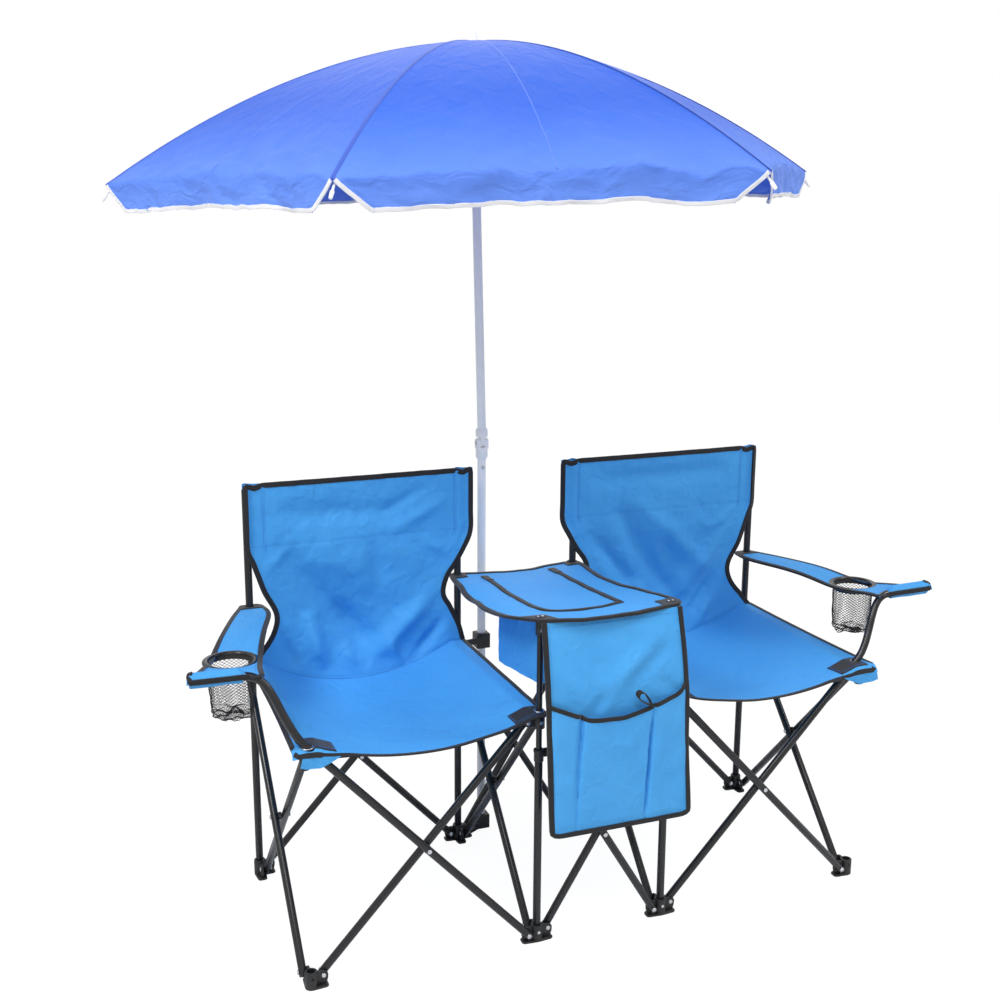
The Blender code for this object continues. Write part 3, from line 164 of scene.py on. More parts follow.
# Steel frame tubes
# Round steel tube, 16 mm across, powder coated in gloss black, with softened ends. Ten crossed pairs
# stand between the feet and the fittings above, and two of those tubes bend on to carry the armrests.
pivot = {joint["name"]: Vector(joint["pos_m"]) for joint in frame["joints"] if joint["type"] == "hinge"}


def box_middle(node):
    low, high = (Vector(corner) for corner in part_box(node))
    return (low + high) / 2


column_x = [box_middle(f"rear_post_{column}").x for column in (1, 2, 3, 4)]
row_y = {"front": box_middle("front_lower_tube_2").y, "rear": box_middle("rear_post_2").y}
middle = Vector(((column_x[0] + column_x[3]) / 2, (row_y["front"] + row_y["rear"]) / 2, 0))
foot_pivot = pivot["frame_fold"].z
seat_pivot = pivot["rear_slider_1_pivot"].z
middle_pivot = pivot["middle_slider_2_pivot"].z
pivot_out = abs(pivot["frame_fold"].x - column_x[1])
mast = Vector((pivot["mast_turn"].x, pivot["mast_turn"].y, 0))
tube_radius = 0.008
tube_off = 0.0108           # from the middle of a fitting's plate to a tube's axis
tube_end = 0.0095           # beyond the end rivet
tube_sides = 24
LEFT, RIGHT = Vector((-1, 0, 0)), Vector((1, 0, 0))
FORWARD, BACK, UP = Vector((0, -1, 0)), Vector((0, 1, 0)), Vector((0, 0, 1))
side_sign = {"left": -1, "right": 1}        # which way a side's shapes lie from the mid-plane


def upright(row, column):
    """Where the upright of a column, counted from 1, meets the floor."""
    return Vector((column_x[column - 1], row_y[row], 0))


def shader_group(name, inputs, outputs):
    """An empty shader group with named number, colour or vector sockets, and its two end nodes."""
    made = bpy.data.node_groups.new(name, "ShaderNodeTree")
    for direction, sockets in (("INPUT", inputs), ("OUTPUT", outputs)):
        for socket, kind in sockets.items():
            made.interface.new_socket(name=socket, in_out=direction, socket_type=f"NodeSocket{kind}")
    return made, made.nodes.new("NodeGroupInput").outputs, made.nodes.new("NodeGroupOutput").inputs


def placed_group(tree, group, **sockets):
    """A group placed in a material, with its inputs set or linked."""
    made = tree.nodes.new("ShaderNodeGroup")
    made.node_tree = group
    for socket, value in sockets.items():
        feed(tree, made.inputs[socket], value)
    return made.outputs


def finish(name, colour, roughness, metallic=0.0):
    """A new material: its tree, its shader and its object coordinates."""
    made = bpy.data.materials.new(name)
    made.use_nodes = True
    shader = made.node_tree.nodes["Principled BSDF"]
    shader.inputs["Base Color"].default_value = (*colour, 1)
    shader.inputs["Roughness"].default_value = roughness
    shader.inputs["Metallic"].default_value = metallic
    place = made.node_tree.nodes.new("ShaderNodeTexCoord").outputs["Object"]
    return made, made.node_tree, shader, place


def relief(tree, shader, height, depth, strength=1.0):
    """Links a height to a shader's normal, depth metres deep."""
    bump = add_node(tree, "ShaderNodeBump", Strength=strength, Distance=depth, Height=height)
    tree.links.new(bump.outputs["Normal"], shader.inputs["Normal"])


# Uneven surface: fine grain, a broad tone and small scuffs, for coats, nylon and plated steel.
surface, s_in, s_out = shader_group(
    "uneven_surface", {"Place": "Vector", "Grain": "Float", "Blotch": "Float"},
    {"Grain": "Float", "Tone": "Float", "Scuff": "Float"})
grain_noise = add_node(surface, "ShaderNodeTexNoise", Vector=s_in["Place"], Scale=s_in["Grain"], Detail=3.0)
tone_noise = add_node(surface, "ShaderNodeTexNoise", Vector=s_in["Place"], Scale=s_in["Blotch"], Detail=4.0)
scuff_noise = add_node(surface, "ShaderNodeTexNoise", Vector=s_in["Place"], Scale=s_in["Blotch"], Detail=9.0,
                       Roughness=0.75, Distortion=1.4)
scuff = add_node(surface, "ShaderNodeMapRange", Value=scuff_noise.outputs[0], From_Min=0.60, From_Max=0.70)
surface.links.new(grain_noise.outputs[0], s_out["Grain"])
surface.links.new(tone_noise.outputs[0], s_out["Tone"])
surface.links.new(scuff.outputs[0], s_out["Scuff"])


def coat(name, colour, worn, roughness, rough_worn, grain, blotch, depth, metallic=0.0):
    """A coated or moulded surface: the colour dulls and lightens a little in its scuffs."""
    made, tree, shader, place = finish(name, colour, roughness, metallic)
    rough = placed_group(tree, surface, Place=place, Grain=grain, Blotch=blotch)
    share = calculated(tree, "MULTIPLY", rough["Scuff"], 0.5)
    feed(tree, shader.inputs["Base Color"], mixed_colour(tree, share, (*colour, 1), (*worn, 1)))
    gloss = add_node(tree, "ShaderNodeMapRange", Value=rough["Tone"], To_Min=roughness, To_Max=rough_worn)
    tree.links.new(gloss.outputs[0], shader.inputs["Roughness"])
    relief(tree, shader, rough["Grain"], depth)
    return made


black_coat = coat("black_powder_coat", (0.010, 0.010, 0.012), (0.035, 0.035, 0.04), 0.20, 0.34, 900, 14, 0.00006)


def settle(made, name, body, slot, material, *nodes, angle=40):
    """Names a finished piece, puts its place into its mesh, and hands it to the frame."""
    bpy.ops.object.select_all(action="DESELECT")
    made.select_set(True)
    bpy.context.view_layer.objects.active = made
    bpy.ops.object.transform_apply(location=True, rotation=True, scale=True)
    bpy.ops.object.shade_smooth_by_angle(angle=math.radians(angle))
    made.name = name
    made.data.name = name
    made.data.materials.clear()
    made.data.materials.append(material)
    if body:
        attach(made, body)
    if nodes:
        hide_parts(*nodes)
    made.select_set(False)
    return made


def apply_modifier(made, kind, **values):
    """Adds a modifier and applies it."""
    bpy.context.view_layer.objects.active = made
    bpy.ops.object.modifier_add(type=kind)
    modifier = made.modifiers[-1]
    for key, value in values.items():
        setattr(modifier, key, value)
    bpy.ops.object.modifier_apply(modifier=modifier.name)


def in_edit(made, action):
    """Runs mesh operators on everything in a piece, in edit mode."""
    bpy.context.view_layer.objects.active = made
    bpy.ops.object.mode_set(mode="EDIT")
    bpy.ops.mesh.select_all(action="SELECT")
    action()
    bpy.ops.object.mode_set(mode="OBJECT")


def face_outwards(made):
    in_edit(made, lambda: bpy.ops.mesh.normals_make_consistent(inside=False))


def weld(made, distance):
    """Merges points closer than a distance, and turns the faces outwards."""
    in_edit(made, lambda: bpy.ops.mesh.remove_doubles(threshold=distance))
    face_outwards(made)


def soften(made, width, segments=2, angle=40, **values):
    """Rounds the edges that are sharper than an angle."""
    if width:
        apply_modifier(made, "BEVEL", width=width, segments=segments, limit_method="ANGLE",
                       angle_limit=math.radians(angle), **values)


def combine(made, other, operation):
    """Merges another piece into one or cuts it away, and removes the other."""
    apply_modifier(made, "BOOLEAN", operation=operation, solver="EXACT", object=other)
    bpy.data.objects.remove(other, do_unlink=True)


def meshed(name, points, faces):
    """A new object from points and faces, alone in the selection."""
    mesh = bpy.data.meshes.new(name)
    mesh.from_pydata(points, [], faces)
    made = bpy.data.objects.new(name, mesh)
    scene.collection.objects.link(made)
    bpy.ops.object.select_all(action="DESELECT")
    made.select_set(True)
    return made


def joined(pieces):
    """Several pieces made one object."""
    bpy.ops.object.select_all(action="DESELECT")
    for made in pieces:
        made.select_set(True)
    bpy.context.view_layer.objects.active = pieces[0]
    if len(pieces) > 1:
        bpy.ops.object.join()
    bpy.ops.object.transform_apply(location=True, rotation=True, scale=True)
    return pieces[0]


def round_bar(start, end, radius, soft=0.0012, sides=tube_sides, end_radius=None):
    """A bar between two points with softened rims."""
    start, end = Vector(start), Vector(end)
    turn = (end - start).to_track_quat("Z", "Y").to_euler()
    bpy.ops.mesh.primitive_cone_add(
        vertices=sides, radius1=radius, radius2=radius if end_radius is None else end_radius,
        depth=(end - start).length, location=(start + end) / 2, rotation=turn)
    made = bpy.context.object
    bpy.ops.object.transform_apply(location=True, rotation=True, scale=True)
    soften(made, soft, angle=50)
    return made


def smooth_line(points, steps):
    """A smooth line through points, with a number of steps between each two."""
    points = [Vector(point) for point in points]
    padded = [2 * points[0] - points[1]] + points + [2 * points[-1] - points[-2]]
    line = []
    for a, b, c, d in zip(padded, padded[1:], padded[2:], padded[3:]):
        for step in range(steps):
            t = step / steps
            line.append(b + (c - a) * (t / 2) + (a - b * 2.5 + c * 2 - d / 2) * (t * t)
                        + (b * 1.5 - a / 2 - c * 1.5 + d / 2) * (t ** 3))
    return line + [points[-1]]


def bent_bar(path, radius, sides=6):
    """A round bar along a smooth path, as a filled curve turned into a mesh."""
    curve = bpy.data.curves.new("bar", "CURVE")
    curve.dimensions = "3D"
    curve.bevel_depth = radius
    curve.bevel_resolution = sides
    curve.use_fill_caps = True
    spline = curve.splines.new("POLY")
    spline.points.add(len(path) - 1)
    for place, point in zip(spline.points, path):
        place.co = (*point, 1)
    made = bpy.data.objects.new("bar", curve)
    scene.collection.objects.link(made)
    bpy.ops.object.select_all(action="DESELECT")
    made.select_set(True)
    bpy.context.view_layer.objects.active = made
    bpy.ops.object.convert(target="MESH")
    made = bpy.context.object
    weld(made, 0.00005)
    return made


arm_bend_shares = [         # along X, Y and Z, as shares of the way from the seat fitting to the tip
    (0.08, 0.00, 0.12), (0.16, 0.04, 0.24), (0.22, 0.16, 0.38), (0.275, 0.36, 0.54),
    (0.33, 0.58, 0.72), (0.39, 0.78, 0.87), (0.47, 0.92, 0.965), (0.60, 1.00, 1.00), (1.00, 1.00, 1.00),
]
arm_tip = Vector((0.8025, -0.1905, 0.633))      # end of an arm tube, about the chair's middle


def arm_end(side):
    return middle + Vector((side_sign[side] * arm_tip.x, arm_tip.y, arm_tip.z))


def arm_bend(side, start):
    """The bent part of an arm tube, from the seat fitting to the armrest's front end."""
    reach = arm_end(side) - start
    return [start + Vector((reach.x * a, reach.y * b, reach.z * c)) for a, b, c in arm_bend_shares]


crossings = []              # where each pair crosses, which way its first tube lies, and its body
for row, y in row_y.items():
    for bay, left_x, right_x, top in (
            ("left", column_x[0], column_x[1], seat_pivot), ("middle", column_x[1], column_x[2], middle_pivot),
            ("right", column_x[2], column_x[3], seat_pivot)):
        for way, x_low, x_high, off in (("left", right_x - pivot_out, left_x + pivot_out, FORWARD),
                                        ("right", left_x + pivot_out, right_x - pivot_out, BACK)):
            name = f"tube_{row}_{bay}_rising_{way}"
            low, high = Vector((x_low, y, foot_pivot)), Vector((x_high, y, top))
            along = (high - low).normalized() * tube_end
            low, high = low + off * tube_off, high + off * tube_off
            if row == "front" and bay == way:
                line = smooth_line([low - along, (low + high) / 2, high] + arm_bend(way, high), 8)
                tube = bent_bar(line, tube_radius)
            else:
                tube = round_bar(low - along, high + along, tube_radius)
            settle(tube, f"{name}_coated", name, "black_steel", black_coat, name)
            if way == "left":
                crossings.append(((low + high) / 2 - off * tube_off, off, name))
for column, x in enumerate(column_x, 1):
    for way, y_low, y_high, off in (
            ("forward", row_y["rear"] - pivot_out, row_y["front"] + pivot_out, RIGHT),
            ("back", row_y["front"] + pivot_out, row_y["rear"] - pivot_out, LEFT)):
        name = f"tube_side_{column}_rising_{way}"
        low, high = Vector((x, y_low, foot_pivot)), Vector((x, y_high, seat_pivot))
        along = (high - low).normalized() * tube_end
        tube = round_bar(low + off * tube_off - along, high + off * tube_off + along, tube_radius)
        settle(tube, f"{name}_coated", name, "black_steel", black_coat, name)
        if way == "forward":
            crossings.append(((low + high) / 2, off, name))
    node = f"rear_post_{column}"
    low, high = (Vector(corner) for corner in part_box(node))
    post = round_bar((x, row_y["rear"], low.z), (x, row_y["rear"], high.z), tube_radius)
    settle(post, f"{node}_coated", f"rear_leg_{column}", "black_steel", black_coat, node)

# Rivets and washers
# Bright steel tubular rivets hold every crossing and every tube end, with a domed head on each side, and
# a thin black nylon washer parts the two tubes of a crossing.
bright_steel = coat("bright_rivet_steel", (0.62, 0.62, 0.64), (0.45, 0.44, 0.43), 0.24, 0.42, 1200, 60, 0.00003,
                    metallic=1.0)
black_nylon = coat("black_nylon", (0.014, 0.014, 0.015), (0.05, 0.05, 0.052), 0.38, 0.55, 1400, 40, 0.00005)
rivet_head_radius = 0.0046


def dome(centre, outwards, radius=rivet_head_radius, height=0.0022):
    """A domed rivet head: a disc whose rim is drawn in and rounded over."""
    outwards = Vector(outwards).normalized()
    turn = outwards.to_track_quat("Z", "Y").to_euler()
    bpy.ops.mesh.primitive_cylinder_add(vertices=20, radius=radius, depth=height,
                                        location=Vector(centre) + outwards * (height / 2), rotation=turn)
    made = bpy.context.object
    bpy.ops.object.transform_apply(location=True, rotation=True, scale=True)
    soften(made, height * 0.72, 3, 50, profile=0.6)
    return made


def rivet(centre, outwards, near, far):
    """A rivet through two pieces: a shank and a head each way, near and far from the centre."""
    centre, outwards = Vector(centre), Vector(outwards).normalized()
    return [round_bar(centre - outwards * (near + 0.0004), centre + outwards * (far + 0.0004), 0.0025, 0, 12),
            dome(centre + outwards * far, outwards), dome(centre - outwards * near, -outwards)]


# The rivets at the tubes' ends belong to the fittings, and those at the crossings to one of the two tubes.
plate = 0.005
clearance = 0.0003
head_reach = tube_off + tube_radius + clearance
for centre, off, body in crossings:
    tube = body.replace("tube_", "")
    settle(joined(rivet(centre, -off, head_reach, head_reach)), f"crossing_rivet_{tube}", body,
           "bright_rivets", bright_steel)
    gap = tube_off - tube_radius
    washer = round_bar(centre - off * (gap - clearance), centre + off * gap, 0.0078, 0.0006)
    settle(washer, f"crossing_washer_{tube}", body, "black_nylon", black_nylon)


# Feet
# Glass-filled black nylon castings: a round socket for the upright, and a thick plate on its own sole for
# each cross tube. The sockets of the two front outer corners are empty. A third rivet pins the uprights.
foot_height = 0.036
socket_radius = 0.0125
wing_radius = 0.0095
sole_height = 0.0055
holder_half = 0.0165        # the umbrella's cup and ring
holder_size = Vector((2 * holder_half, 2 * holder_half, 0.035))
mast_bore = 0.0099


def block(low, high, soft):
    """A block between two corners with its edges rounded."""
    low, high = Vector(low), Vector(high)
    bpy.ops.mesh.primitive_cube_add(size=1, location=(low + high) / 2, scale=high - low)
    made = bpy.context.object
    bpy.ops.object.transform_apply(location=True, rotation=True, scale=True)
    soften(made, soft)
    return made


def flat_plate(outline, across, thickness, soft=0.001):
    """A plate from an outline of points, thickened evenly to both sides and softened at its rim."""
    bpy.ops.mesh.primitive_circle_add(vertices=len(outline), radius=1, fill_type="NGON")
    made = bpy.context.object
    across = Vector(across).normalized()
    for vertex, point in zip(made.data.vertices, outline):
        vertex.co = Vector(point) - across * (thickness / 2)

    def thicken():
        bpy.ops.mesh.extrude_region_move(TRANSFORM_OT_translate={"value": across * thickness})
        bpy.ops.mesh.select_all(action="SELECT")
        bpy.ops.mesh.normals_make_consistent(inside=False)

    in_edit(made, thicken)
    soften(made, soft)
    return made


def bored(made, start, end, radius, sides=tube_sides):
    """Cuts a round hole between two points."""
    combine(made, round_bar(start, end, radius, 0, sides), "DIFFERENCE")
    return made


def united(pieces):
    """Several overlapping pieces merged into one skin."""
    made = pieces[0]
    for other in pieces[1:]:
        combine(made, other, "UNION")
    return made


def wing_outline(base, outwards, height, above, below):
    """The upright outline of a wing: square at the fitting, round about its rivet."""
    end = base + outwards * pivot_out + UP * height
    arc = []
    for step in range(9):
        turn = math.pi * step / 8
        rise = math.cos(turn)
        arc.append(end + outwards * (wing_radius * math.sin(turn)) + UP * (rise * (above if rise > 0 else below)))
    return arc + [base + UP * (height - below), base + UP * (height + above)]


for row in row_y:
    for column in (1, 2, 3, 4):
        node = f"foot_{row}_{column}"
        base = upright(row, column)
        body = f"{row}_leg_{column}"
        empty = row == "front" and column in (1, 4)
        parts = [round_bar(base, base + UP * foot_height, socket_radius, 0.0018)]
        directions = [BACK if row == "front" else FORWARD]
        directions += [LEFT] if column > 1 else []
        directions += [RIGHT] if column < 4 else []
        for outwards in directions:
            side = UP.cross(outwards)
            reach = pivot_out + wing_radius - clearance
            sole = [base + side * (0.0125 * s) + outwards * (reach * o) + UP * (sole_height / 2)
                    for s, o in ((-1, 0), (-0.8, 0.86), (-0.55, 1.0), (0.55, 1.0), (0.8, 0.86), (1, 0))]
            parts.append(flat_plate(sole, UP, sole_height, 0.0012))
            outline = wing_outline(base, outwards, foot_pivot, wing_radius, foot_pivot - sole_height / 2)
            parts.append(flat_plate(outline, side, plate, 0.0007))
            gusset = [base + outwards * (socket_radius - 0.002) + UP * (foot_height - 0.003),
                      base + outwards * (pivot_out - 0.004) + UP * (foot_pivot + wing_radius - 0.002),
                      base + outwards * (pivot_out - 0.004) + UP * sole_height, base + UP * sole_height]
            parts.append(flat_plate(gusset, side, plate + 0.0012, 0.0005))
        if node == "foot_rear_2":
            holder_low = mast - Vector((holder_half, holder_half, 0))
            parts.append(block(holder_low, holder_low + holder_size, 0.002))
            web = [base + Vector((0, 0.006, 0.004)), base + Vector((pivot_out, 0, 0.004)),
                   Vector((mast.x, mast.y - 0.008, 0.004)), Vector((mast.x - 0.008, mast.y, 0.004))]
            parts.append(flat_plate(web, UP, 0.008, 0.0012))
        foot = united(parts)
        bored(foot, base + UP * 0.006, base + UP * 0.05, tube_radius + clearance)
        if node == "foot_rear_2":
            bored(foot, mast + UP * 0.008, mast + UP * 0.05, mast_bore, 32)
        if empty:
            bored(foot, base + Vector((0, -0.02, 0.024)), base + Vector((0, -0.004, 0.024)), 0.0022, 12)
        settle(foot, f"{node}_moulded", body, "black_nylon", black_nylon, node, angle=35)
        heads = []
        for outwards in directions:
            centre = base + outwards * pivot_out + UP * foot_pivot
            if outwards.x:
                off = FORWARD if outwards.x < 0 else BACK
            else:
                off = LEFT if row == "front" else RIGHT
            heads += rivet(centre, off, plate / 2, head_reach)
        if not empty:
            heads.append(dome(base + FORWARD * (socket_radius - 0.0003) + UP * 0.022, FORWARD, 0.0034, 0.0014))
        settle(joined(heads), f"{node}_rivets", body, "bright_rivets", bright_steel)

# Front uprights
# Columns 2 and 3 have a lower tube pressed into its foot, and a thinner tube that slides in it and carries
# a seat bracket and a screw cap for the corner of the table.
slim_radius = 0.006
cap_height = 0.030
cap_radius = 0.0094
sleeve_radius = 0.0115
sleeve_height = 0.028
ring_height, web_height = 0.455, 0.476      # the umbrella ring's underside, and the middle of its web


def top_rivets(base, row, directions, height):
    """The rivets of a fitting at the top of the cross tubes."""
    heads = []
    for outwards in directions:
        if outwards.x:
            off = BACK if outwards.x < 0 else FORWARD
        else:
            off = RIGHT if row == "front" else LEFT
        heads += rivet(base + outwards * pivot_out + UP * height, off, plate / 2, head_reach)
    return heads


def moulded_wings(base, directions, height):
    """The wings of a fitting."""
    half = wing_radius - 0.0005
    return [flat_plate(wing_outline(base, outwards, height, half, half), UP.cross(outwards), plate, 0.0007)
            for outwards in directions]


for column, chair_side in ((2, LEFT), (3, RIGHT)):
    base = upright("front", column)
    low, high = (Vector(corner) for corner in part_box(f"front_lower_tube_{column}"))
    lower = round_bar(base + UP * low.z, base + UP * high.z, tube_radius)
    bored(lower, base + UP * (high.z - 0.25), base + UP * (high.z + 0.01), slim_radius + clearance)
    settle(lower, f"front_lower_tube_{column}_coated", f"front_leg_{column}", "black_steel", black_coat,
           f"front_lower_tube_{column}")
    low, high = (Vector(corner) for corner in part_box(f"front_upper_tube_{column}"))
    body = f"front_upper_{column}"
    slim = round_bar(base + UP * low.z, base + UP * (high.z - 0.002), slim_radius)
    settle(slim, f"front_upper_tube_{column}_coated", body, "black_steel", black_coat,
           f"front_upper_tube_{column}")
    cap = round_bar(base + UP * (high.z - cap_height), base + UP * high.z, cap_radius, 0.001)
    hub = round_bar(base + UP * (seat_pivot - sleeve_height / 2), base + UP * (seat_pivot + 0.009), sleeve_radius)
    bracket = united([hub] + moulded_wings(base, [chair_side, BACK], seat_pivot))
    settle(joined([bracket, cap]), f"front_bracket_{column}", body, "black_nylon", black_nylon, angle=35)
    heads = top_rivets(base, "front", [chair_side, BACK], seat_pivot)
    heads.append(dome(base + FORWARD * (sleeve_radius - 0.0003) + UP * seat_pivot, FORWARD, 0.0036, 0.0014))
    heads.append(dome(base + FORWARD * (cap_radius - 0.0004) + UP * (high.z - 0.0190), FORWARD, 0.0038, 0.0016))
    settle(joined(heads), f"front_bracket_{column}_rivets", body, "bright_rivets", bright_steel)

# Sliders, collars and corner fittings
# Black nylon sleeves slide on the rear posts as the frame folds. A lipped collar tops each front lower
# tube, and a small fitting under each outer front seat corner joins the tubes that meet there.
fittings = [(f"rear_slider_{column}", column, [inwards, FORWARD], seat_pivot)
            for column, inwards in enumerate((RIGHT, LEFT, RIGHT, LEFT), 1)]
fittings += [("middle_slider_2", 2, [RIGHT], middle_pivot), ("middle_slider_3", 3, [LEFT], middle_pivot)]
for node, column, directions, height in fittings:
    base = upright("rear", column)
    low, high = base + UP * (height - sleeve_height / 2), base + UP * (height + sleeve_height / 2)
    parts = [round_bar(low, high, sleeve_radius, 0.0016)] + moulded_wings(base, directions, height)
    if node == "rear_slider_2":
        ring_low = Vector((mast.x - holder_half, mast.y - holder_half, ring_height))
        parts.append(block(ring_low, ring_low + holder_size, 0.0022))
        web = [(base.x, base.y + sleeve_radius - plate), (base.x, base.y + sleeve_radius),
               (mast.x - 0.008, mast.y - 0.0113), (mast.x - 0.008, mast.y - holder_half)]
        parts.append(flat_plate([Vector((x, y, web_height)) for x, y in web], UP, sleeve_height / 2, 0.001))
    fitting = united(parts)
    bored(fitting, low - UP * 0.01, high + UP * 0.01, tube_radius + clearance)
    if node == "rear_slider_2":
        ring_middle = ring_low + Vector((holder_half, holder_half, 0))
        bored(fitting, ring_middle - UP * 0.01, ring_middle + UP * 0.05, mast_bore, 32)
    settle(fitting, f"{node}_moulded", node, "black_nylon", black_nylon, node, angle=35)
    settle(joined(top_rivets(base, "rear", directions, height)), f"{node}_rivets", node, "bright_rivets",
           bright_steel)
for column, inwards in ((2, RIGHT), (3, LEFT)):
    node = f"middle_collar_{column}"
    base = upright("front", column)
    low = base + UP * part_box(node)[0][2]
    collar = united([round_bar(low, base + UP * (middle_pivot + 0.009), 0.0098),
                     round_bar(base + UP * (middle_pivot + 0.003), base + UP * (middle_pivot + 0.009), 0.0108)]
                    + moulded_wings(base, [inwards], middle_pivot))
    bored(collar, low - UP * 0.01, low + UP * 0.05, slim_radius + clearance)
    settle(collar, f"{node}_moulded", node, "black_nylon", black_nylon, node, angle=35)
    settle(joined(top_rivets(base, "front", [inwards], middle_pivot)), f"{node}_rivets", node, "bright_rivets",
           bright_steel)
for column, inwards in ((1, RIGHT), (4, LEFT)):
    node = f"corner_fitting_{column}"
    base = upright("front", column)
    hub = round_bar(base + UP * (seat_pivot - 0.025), base + UP * (seat_pivot - 0.002), 0.0095)
    fitting = united([hub] + moulded_wings(base, [inwards, BACK], seat_pivot))
    trim = block(base + Vector((-0.011, -0.011, seat_pivot - 0.002)),
                 base + Vector((0.011, 0.011, seat_pivot + 0.02)), 0)
    combine(fitting, trim, "DIFFERENCE")
    settle(fitting, f"{node}_moulded", f"front_corner_{column}", "black_nylon", black_nylon, node, angle=35)
    settle(joined(top_rivets(base, "front", [inwards, BACK], seat_pivot)), f"{node}_rivets",
           f"front_corner_{column}", "bright_rivets", bright_steel)

# Backs
# Each back is one piece of coated blue polyester, bound in black tape. Its sides are turned back over the
# two rear posts and held by a double row of stitches, and it is sewn to the seat along its lower edge.
row_half = (row_y["rear"] - row_y["front"]) / 2
outer_x = column_x[3] - middle.x
inner_x = column_x[2] - middle.x
cloth_thickness = 0.0016
seat_corner = 0.499
seat_flat = 0.022
cuff_height = 0.741
back_top = 0.893
sleeve_width = 0.042
back_outer = [(0.618, 0.893), (0.618, 0.800), (0.6175, 0.750), (0.607, 0.722), (0.597, 0.692), (0.584, 0.655),
              (0.5605, 0.613), (0.565, 0.578), (0.587, 0.538), (0.618, 0.499)]
back_inner = [(0.108, 0.893), (0.108, 0.800), (0.109, 0.748), (0.127, 0.710), (0.146, 0.678), (0.167, 0.648),
              (0.175, 0.613), (0.159, 0.578), (0.141, 0.538), (0.131, 0.499)]
back_folds = {              # start, end, half width and rise of each soft fold, from the mid-plane outwards
    "left": [((0.535, 0.740), (0.405, 0.575), 0.022, -0.0110), ((0.405, 0.590), (0.352, 0.505), 0.026, -0.0150),
             ((0.470, 0.755), (0.330, 0.640), 0.034, 0.0060), ((0.185, 0.625), (0.330, 0.492), 0.021, 0.0150),
             ((0.485, 0.580), (0.462, 0.490), 0.019, 0.0170), ((0.548, 0.560), (0.522, 0.490), 0.014, -0.0130),
             ((0.302, 0.505), (0.288, 0.460), 0.012, 0.0080), ((0.158, 0.575), (0.255, 0.455), 0.013, -0.0150),
             ((0.560, 0.824), (0.300, 0.812), 0.024, -0.0075), ((0.312, 0.812), (0.225, 0.852), 0.013, -0.0050),
             ((0.285, 0.772), (0.180, 0.825), 0.013, 0.0050), ((0.585, 0.695), (0.523, 0.755), 0.012, 0.0060),
             ((0.165, 0.700), (0.215, 0.735), 0.012, 0.0055), ((0.400, 0.505), (0.385, 0.460), 0.012, 0.0060),
             ((0.340, 0.735), (0.320, 0.620), 0.018, -0.0060)],
    "right": [((0.258, 0.754), (0.420, 0.525), 0.022, -0.0120), ((0.310, 0.771), (0.480, 0.615), 0.022, 0.0080),
              ((0.578, 0.656), (0.470, 0.500), 0.016, -0.0140), ((0.540, 0.690), (0.425, 0.540), 0.022, 0.0120),
              ((0.500, 0.510), (0.470, 0.450), 0.012, 0.0090), ((0.187, 0.703), (0.290, 0.590), 0.018, -0.0100),
              ((0.200, 0.640), (0.290, 0.510), 0.022, 0.0120), ((0.317, 0.563), (0.346, 0.484), 0.016, 0.0120),
              ((0.204, 0.840), (0.520, 0.838), 0.022, -0.0070), ((0.165, 0.600), (0.225, 0.490), 0.013, -0.0120),
              ((0.560, 0.740), (0.500, 0.700), 0.012, 0.0060), ((0.380, 0.700), (0.400, 0.610), 0.016, -0.0060),
              ((0.400, 0.500), (0.390, 0.455), 0.012, 0.0060)],
}

# Woven cloth: two crossing sets of threads, slubs along them, and soft puckers. Its vector is in metres.
weave, w_in, w_out = shader_group(
    "plain_weave", {"Place": "Vector", "Threads": "Float", "Puckers": "Float"},
    {"Threads": "Float", "Slub": "Float", "Pucker": "Float", "Tone": "Float"})
across_place = weave.nodes.new("ShaderNodeSeparateXYZ")
weave.links.new(w_in["Place"], across_place.inputs[0])
thread_turn = calculated(weave, "MULTIPLY", w_in["Threads"], 2 * math.pi)
warp = calculated(weave, "SINE", calculated(weave, "MULTIPLY", across_place.outputs[0], thread_turn))
weft = calculated(weave, "SINE", calculated(weave, "MULTIPLY", across_place.outputs[1], thread_turn))
plain = calculated(weave, "ABSOLUTE", calculated(weave, "SUBTRACT", warp, weft))
weave.links.new(calculated(weave, "MULTIPLY", plain, 0.5), w_out["Threads"])
drawn = add_node(weave, "ShaderNodeMapping", Vector=w_in["Place"], Scale=(0.07, 1.0, 1.0))
slub = add_node(weave, "ShaderNodeTexNoise", Vector=drawn.outputs[0], Scale=900, Detail=2.0)
weave.links.new(slub.outputs[0], w_out["Slub"])
pucker = add_node(weave, "ShaderNodeTexNoise", Vector=w_in["Place"], Scale=w_in["Puckers"], Detail=3.0,
                  Roughness=0.45, Distortion=0.8)
weave.links.new(pucker.outputs[0], w_out["Pucker"])
tone = add_node(weave, "ShaderNodeTexNoise", Vector=w_in["Place"], Scale=7.0, Detail=2.0)
weave.links.new(tone.outputs[0], w_out["Tone"])


